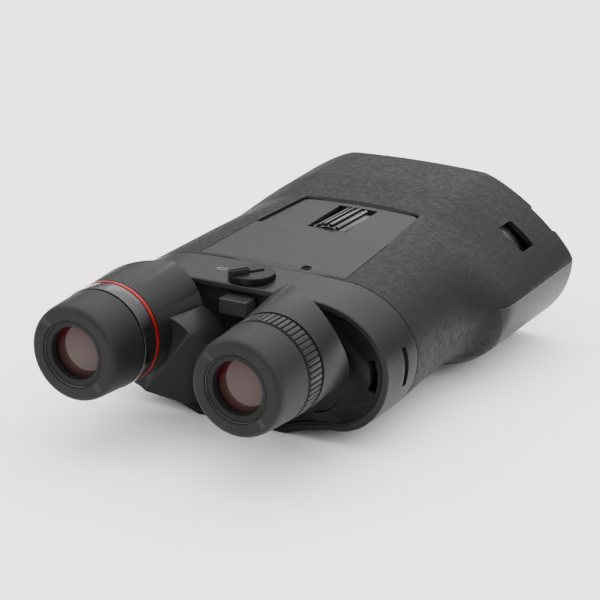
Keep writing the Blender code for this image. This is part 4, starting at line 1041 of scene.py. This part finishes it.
def bar(name, along, across, up, reach, height, bevel, taper=1.0):
    """Rounded bar on the knob, pointing along the switch's aim."""
    bm = bmesh.new()
    bmesh.ops.create_cube(bm, size=1.0, matrix=Matrix.Diagonal((along * MM, across * MM, up * MM, 1.0)))
    for v in bm.verts:
        if v.co.x < 0:
            v.co.y *= taper
    bmesh.ops.bevel(bm, geom=bm.edges, offset=bevel * MM, segments=3, affect="EDGES", clamp_overlap=True)
    place = Matrix.Translation(at(*SWITCH, height)) @ Matrix.Rotation(AIM, 4, "Z")
    bmesh.ops.transform(bm, matrix=place @ Matrix.Translation((reach * MM, 0, 0)), verts=bm.verts)
    return finished(name, bm, dark_plastic)


grip = bar("cut", 8.6, 3.6, 4.0, 5.6, SWITCH_TOP + 0.55, 0.75, 0.8)
ridge = bar("cut2", 7.5, 1.1, 0.9, -1.6, SWITCH_TOP + 0.2, 0.25)
carve(knob, grip, ridge, operation="UNION")
put(knob, "switch", "power_switch")


def ring_mark(name, centre, length, width, line):
    """Outlined oblong mark, standing slightly proud of the bezel."""
    def outline(grow):
        half = length / 2 - width / 2
        pts = arc((half, 0), width / 2 + grow, -90, 90, 8) + arc((-half, 0), width / 2 + grow, 90, 270, 8)
        return [(centre[0] + x, centre[1] + y) for x, y in pts]

    def lifted(points, rise):
        return [(x, y, top_height(x, y) + rise) for x, y in points]

    rings = [lifted(outline(0), -0.1), lifted(outline(0), 0.14), lifted(outline(-line), 0.14),
             lifted(outline(-line), -0.1)]
    return finished(name, rings_to_bmesh(rings, loop=True), mark_paint)


put(ring_mark("switch_mark", (-14.0, 73.6), 6.4, 1.9, 0.35), "housing")

# %% [markdown]
# ## Eyepieces
# From the eye inwards: a rubber cup with a flat face and a large rounding, a thin step where the
# barrel's mount begins, edged by a lighter ring that paints the step's highlight, a dark mount ring,
# and the coated lens a few millimetres down, its colour carrying painted shade and reflection. All are
# turned about the eyepiece axis from one profile each, with the cup's outer corners filleted so that they
# catch light.

# %% Eyecups, mounts and lenses
CUP_END = extent("right_eyecup")[1].y
EYE_LENS_R = 11.0
# Painted highlight: a lighter metallic grey for the thin ring on the cup-to-mount step, standing for its
# light line.
painted_step_highlight = moulded(
    "step_painted_highlight", (0.05, 0.05, 0.05), (0.08, 0.08, 0.08), (0.30, 0.40),
    2600.0, 0.00001, metallic=0.6,
)
for side, tag in ((1, "right"), (-1, "left")):
    axis_place = (EYE_X * side, 0.0, 0.0)
    cup_corners = [(0.0, 14.2), (0.0, 17.6), (1.2, 18.7), (3.4, 19.15), (CUP_END, 19.95), (CUP_END, 18.35)]
    cup_outer = fillet(cup_corners, 0.9, 6)
    cup_profile = [(0.0, 13.75), (0.0, 13.9)] + cup_outer
    cup_profile += [(8.0, 17.8), (8.0, 16.6), (17.5, 16.6), (17.5, 15.0), (8.5, 15.0), (8.5, 13.3)]
    cup_profile += [(0.55, 13.3), (0.5, 13.35), (0.15, 13.45), (0.05, 13.6)]
    cup = turned("eyecup_" + tag, cup_profile, axis_place, cup_rubber, steps=144)
    put(cup, tag + "_cup", tag + "_eyecup")
    barrel_profile = [
        (1.35, 10.5), (1.15, 10.7), (1.1, 11.0), (0.95, 12.5), (1.05, 12.75), (1.3, 12.9), (27.8, 12.9),
        (27.8, 14.4), (31.0, 14.4), (31.0, 10.0), (12.0, 10.0), (12.0, 11.3), (4.3, 11.3), (4.3, 10.4),
    ]
    barrel = turned("eyepiece_mount_" + tag, barrel_profile, axis_place, dark_plastic, steps=128)
    put(barrel, tag + "_arm", tag + "_eyepiece_barrel")
    # Thin lighter ring on the step: a painted highlight line.
    line_profile = [(0.78, 12.95), (0.70, 13.05), (0.78, 13.15), (1.6, 13.15), (1.6, 12.95)]
    step_highlight_line = turned("step_painted_highlight_line_" + tag, line_profile, axis_place, painted_step_highlight, steps=128)
    put(step_highlight_line, tag + "_arm")
    # The eye lens colour carries painted shade towards the rim and a painted crescent reflection.
    glass = glass_with_painted_reflection(
        "eye_painted_reflection_" + tag, at(*axis_place), EYE_LENS_R * MM, (0.046, 0.028, 0.025), (0.034, 0.016, 0.015),
        (0.040, 0.004, 0.005),
    )
    front = [(4.6 + 1.0 * (k / 10) ** 2, EYE_LENS_R * k / 10) for k in range(11)]
    back = [(8.6 + 1.3 * (1 - (k / 8) ** 2), EYE_LENS_R * k / 8) for k in range(8, -1, -1)]
    lens = turned("eye_lens_" + tag, front + back, axis_place, glass, steps=96, close=False)
    put(lens, tag + "_arm", tag + "_eye_lens")

# %% [markdown]
# ### Rings on the neck
# The right eyepiece has the dioptre ring, with broad ribs made by the same rib tree as the wheel. The
# left one has a plain glossy band and a red anodised ring; any lettering is left off.

# %% Dioptre ring, band and red ring
NECK = 19.0
CONE = 28.8
NECK_BORE = 17.4
RING_END = CONE - GAP
flanged = [
    (NECK, NECK_BORE), (NECK, 19.9), (NECK + 0.5, 19.9), (NECK + 0.5, 19.45), (CONE - 0.75, 19.45),
    (CONE - 0.75, 19.9), (RING_END, 19.9), (RING_END, NECK_BORE),
]
base = turned("dioptre_base", fillet(flanged, 0.15), (EYE_X, 0, 0), dark_plastic, steps=128)
put(base, "dioptre", "dioptre_ring")
grip_ribs = ribs("dioptre_ribs", plastic, 0.22, Count=56, Radius=19.72 * MM, Length=8.4 * MM, Width=1.72 * MM,
                 Height=0.9 * MM, Centre=at(EYE_X, (NECK + CONE - GAP) / 2, 0))
put(grip_ribs, "dioptre")
split = RING_END - 1.7
band_end = split - GAP
band_profile = fillet([(NECK, NECK_BORE), (NECK, 20.2), (band_end, 20.2), (band_end, NECK_BORE)], 0.3)
band = turned("left_gloss_band", band_profile, (-EYE_X, 0, 0), gloss, steps=144)
put(band, "left_arm", "left_band")
red_profile = fillet([(split, NECK_BORE), (split, 20.4), (RING_END, 20.4), (RING_END, NECK_BORE)], 0.3)
ring = turned("left_anodised_ring", red_profile, (-EYE_X, 0, 0), red, steps=144)
put(ring, "left_arm", "left_red_ring")

# %% [markdown]
# ## Prism arms
# Each arm is one moulding: an oblique cone about the eyepiece axis, a drum about the pivot, and two
# slanted flats where the mirrors of the prism lie. Drawing its faces one by one would leave them to
# miss each other, so it is joined and cut from those solids, and its edges are then rounded.

# %% Prism arms
PIVOT = (21.0, -13.2)
DRUM_R = 20.75
DRUM_Y = 36.1
ARM_FRONT = 56.0
WAY = Vector((0.79, 0.0, 0.61)).normalized()


def half_space(point, normal):
    """Large block whose one face passes through point; its body lies along normal."""
    normal = Vector(normal).normalized()
    bm = bmesh.new()
    turn = normal.to_track_quat("Z", "Y").to_matrix().to_4x4()
    bmesh.ops.create_cube(bm, size=0.2, matrix=Matrix.Translation(at(*point) + normal * 0.1) @ turn)
    return finished("cut", bm, None)


def drum_outline(side):
    """Round about the pivot, flat on the lower outer side, reaching up into the cone."""
    low_side = math.degrees(math.atan2(WAY.z, WAY.x)) - 90.0
    spread = math.degrees(math.acos(13.7 / DRUM_R))
    points = arc(PIVOT, DRUM_R, 62.0, low_side - spread + 360.0, 72)
    points.append(arc(PIVOT, DRUM_R, low_side + spread, low_side + spread + 1, 1)[0])
    points += [(EYE_X + 11.0, -1.0), (EYE_X, 7.0)]
    return mirrored(points, side)


def cone_ring(side, y, radius, t, steps=144):
    middle_x, middle_z = EYE_X - 1.3 * t, 1.8 * t
    return [(x * side, y, z) for x, z in arc((middle_x, middle_z), radius, 0, 360 - 360 / steps, steps - 1)]


for side, tag in ((1, "right"), (-1, "left")):
    upper = half_space((26.6 * side, ARM_FRONT, 20.9), (WAY.x * side, 1.13, WAY.z))
    lower = half_space((6.84 * side, DRUM_Y, 1.0), (-WAY.x * side, -1.0, -WAY.z))
    drum_body = plate("cut", drum_outline(side), DRUM_Y, ARM_FRONT - 0.02, None)
    carve(drum_body, lower)
    cone = rings_to_bmesh([cone_ring(side, CONE, 20.4, 0.0), cone_ring(side, ARM_FRONT, 21.6, 1.0)])
    arm = finished("arm_" + tag, cone, plastic)
    carve(arm, drum_body, operation="UNION")
    carve(arm, upper)
    rounded(arm, 0.55, 3, 30.0)
    eye = (EYE_X * side, 0.0, 0.0)
    carve(arm, drill(17.1, 19.3, 31.0, eye), operation="UNION")
    tunnel = [(0.0, 0.0), (0.0, 14.9), (31.3, 14.9), (31.3, 9.4), (41.0, 9.4), (41.0, 0.0)]
    carve(arm, turned("cut", tunnel, eye, None))
    pivot = (PIVOT[0] * side, 0, PIVOT[1])
    carve(arm, drill(6.5, 50.0, 70.0, pivot))
    if not arm.data.materials:
        arm.data.materials.append(plastic)
    put(arm, tag + "_arm", tag + "_prism_arm", tag + "_arm_cover")
    hub = fillet([(56.3, 6.5), (56.3, 12.0), (66.3, 12.0), (66.3, 10.0), (68.6, 10.0), (68.6, 6.5)], 0.2)
    put(turned("pivot_hub_" + tag, hub, pivot, metal), tag + "_arm", tag + "_pivot_hub")

# %% [markdown]
# ## Hinge plate and stop block
# Between the lobes a centre plate carries both pivots. A block on it stops the arms where they would
# meet. Both are plain mouldings with rounded edges.

# %% Hinge plate and stop block
hinge = plate("centre_plate", hinge_outline(0.0), 64.4, 66.0, dark_plastic)
carve(hinge, plate("cut", section(66.0, WALL + 0.7), 60, 70, None), operation="INTERSECT")
for side in (1, -1):
    carve(hinge, drill(12.3, 50, 80, (PIVOT[0] * side, 0, PIVOT[1])))
put(hinge, "housing", "hinge_plate")
block = plate("stop_block", [(-6.2, 3.8), (6.2, 3.8), (6.2, 10.2), (-6.2, 10.2)], 56.4, 64.1, plastic)
rounded(block, 0.6, 3)
put(block, "housing", "arm_stop_block")

# %% [markdown]
# ## Objective end
# The front wall holds both objective cells and the battery door between them. Each cell is a turned
# ring with a stepped throat; behind it sit the coated objective and the conical tube. A picture of
# a lens on a flat disc would look dead from any other side, so the glass has its real curve.

# %% Front wall, cells, lenses and tubes
FACE = LENGTH - 6.0
OBJECTIVE = (35.5, -10.5)
APERTURE = 25.0
OBJECTIVE_R = 24.6
wall_face = plate("front_wall", section(FACE - 2.0, WALL + 0.12), FACE - 2.6, FACE, dark_plastic)
for side in (1, -1):
    carve(wall_face, drill(APERTURE + 1.4, 150, 230, (OBJECTIVE[0] * side, 0, OBJECTIVE[1]), steps=128))


def door_outline(grow):
    right = [(16.5 + grow, -39.0 - grow), (15.6 + grow, -31.5)]
    right += [(10.6 + grow, -24.0), (10.6 + grow, -21.5 + grow)]
    return right + [(-x, z) for x, z in reversed(right)]


carve(wall_face, plate("cut", door_outline(GAP), 150, 230, None))
put(wall_face, "housing", "front_face")
for side, tag in ((1, "right"), (-1, "left")):
    middle = (OBJECTIVE[0] * side, 0.0, OBJECTIVE[1])
    front = FACE + 1.5
    cell_corners = [
        (front, APERTURE - 0.7), (front, APERTURE + 1.1), (front - 9, APERTURE + 1.1), (front - 9, APERTURE),
        (front - 1.5, APERTURE), (front - 2.5, APERTURE - 1.2), (front - 0.4, APERTURE - 1.2),
    ]
    cell = turned("objective_cell_" + tag, fillet(cell_corners, 0.25), middle, dark_plastic, steps=144)
    put(cell, "housing", tag + "_objective_ring")
    rear = front - 14.0
    # The objective glass carries the same painted shade towards the rim and a painted crescent reflection.
    coat = glass_with_painted_reflection("objective_painted_reflection_" + tag, at(*middle), OBJECTIVE_R * MM, (0.030, 0.040, 0.036),
                        (0.050, 0.024, 0.034), (0.020, 0.006, 0.012))
    curve = [(rear + 7.0 - 2.5 * (k / 12) ** 2, OBJECTIVE_R * k / 12) for k in range(12, -1, -1)]
    glass_profile = [(rear, 0.0), (rear + 0.8, OBJECTIVE_R)] + curve
    put(turned("objective_" + tag, glass_profile, middle, coat, steps=128, close=False), "housing",
        tag + "_objective_lens")
    tube_front = front - 9.3
    tube = [
        (FACE - 51.0, 18.6), (FACE - 51.0, 20.0), (FACE - 13.5, 26.1), (tube_front, 26.1),
        (tube_front, 24.9), (rear, 24.9), (rear - 0.4, 22.8),
    ]
    put(turned("objective_tube_" + tag, tube, middle, metal, steps=112), "housing", tag + "_objective_tube")

# %% Battery door with grip ridges
door = plate("door_leaf", door_outline(0.0), FACE - 2.2, FACE, plastic)
rounded(door, 0.45, 3)
put(door, "door", "battery_door")
ridges = bmesh.new()
ridge_size = Matrix.Diagonal((14.0 * MM, 0.7 * MM, 0.7 * MM, 1.0))
for k in range(6):
    ridge_place = Matrix.Translation(at(0.0, FACE - 0.05, -30.5 - 1.35 * k))
    bmesh.ops.create_cube(ridges, size=1.0, matrix=ridge_place @ ridge_size)
grip_bars = finished("door_ridges", ridges, dark_plastic)
rounded(grip_bars, 0.15, 2)
put(grip_bars, "door")

# %% [markdown]
# ## Tripod bush
# A metal bush under the body with a stepped flange. A cut helix would take many faces for something
# seldom seen, so its thread is drawn as shallow rings.

# %% Tripod bush
PITCH = 1.27
thread = []
for k in range(5):
    groove = KEEL + 1.2 + PITCH * k
    thread += [(groove, 3.12), (groove + 0.63, 3.55)]
bush_profile = [(KEEL + 0.3, 3.6), (KEEL + 0.3, 7.7), (KEEL + 0.6, 8.0), (KEEL + 3.0, 8.0), (KEEL + 3.0, 6.0),
                (KEEL + 8.0, 6.0), (KEEL + 8.0, 3.3)] + thread[::-1]
put(turned("threaded_bush", bush_profile, (0.0, bush_y, 0.0), metal, "Z", 96), "housing", "tripod_bush")
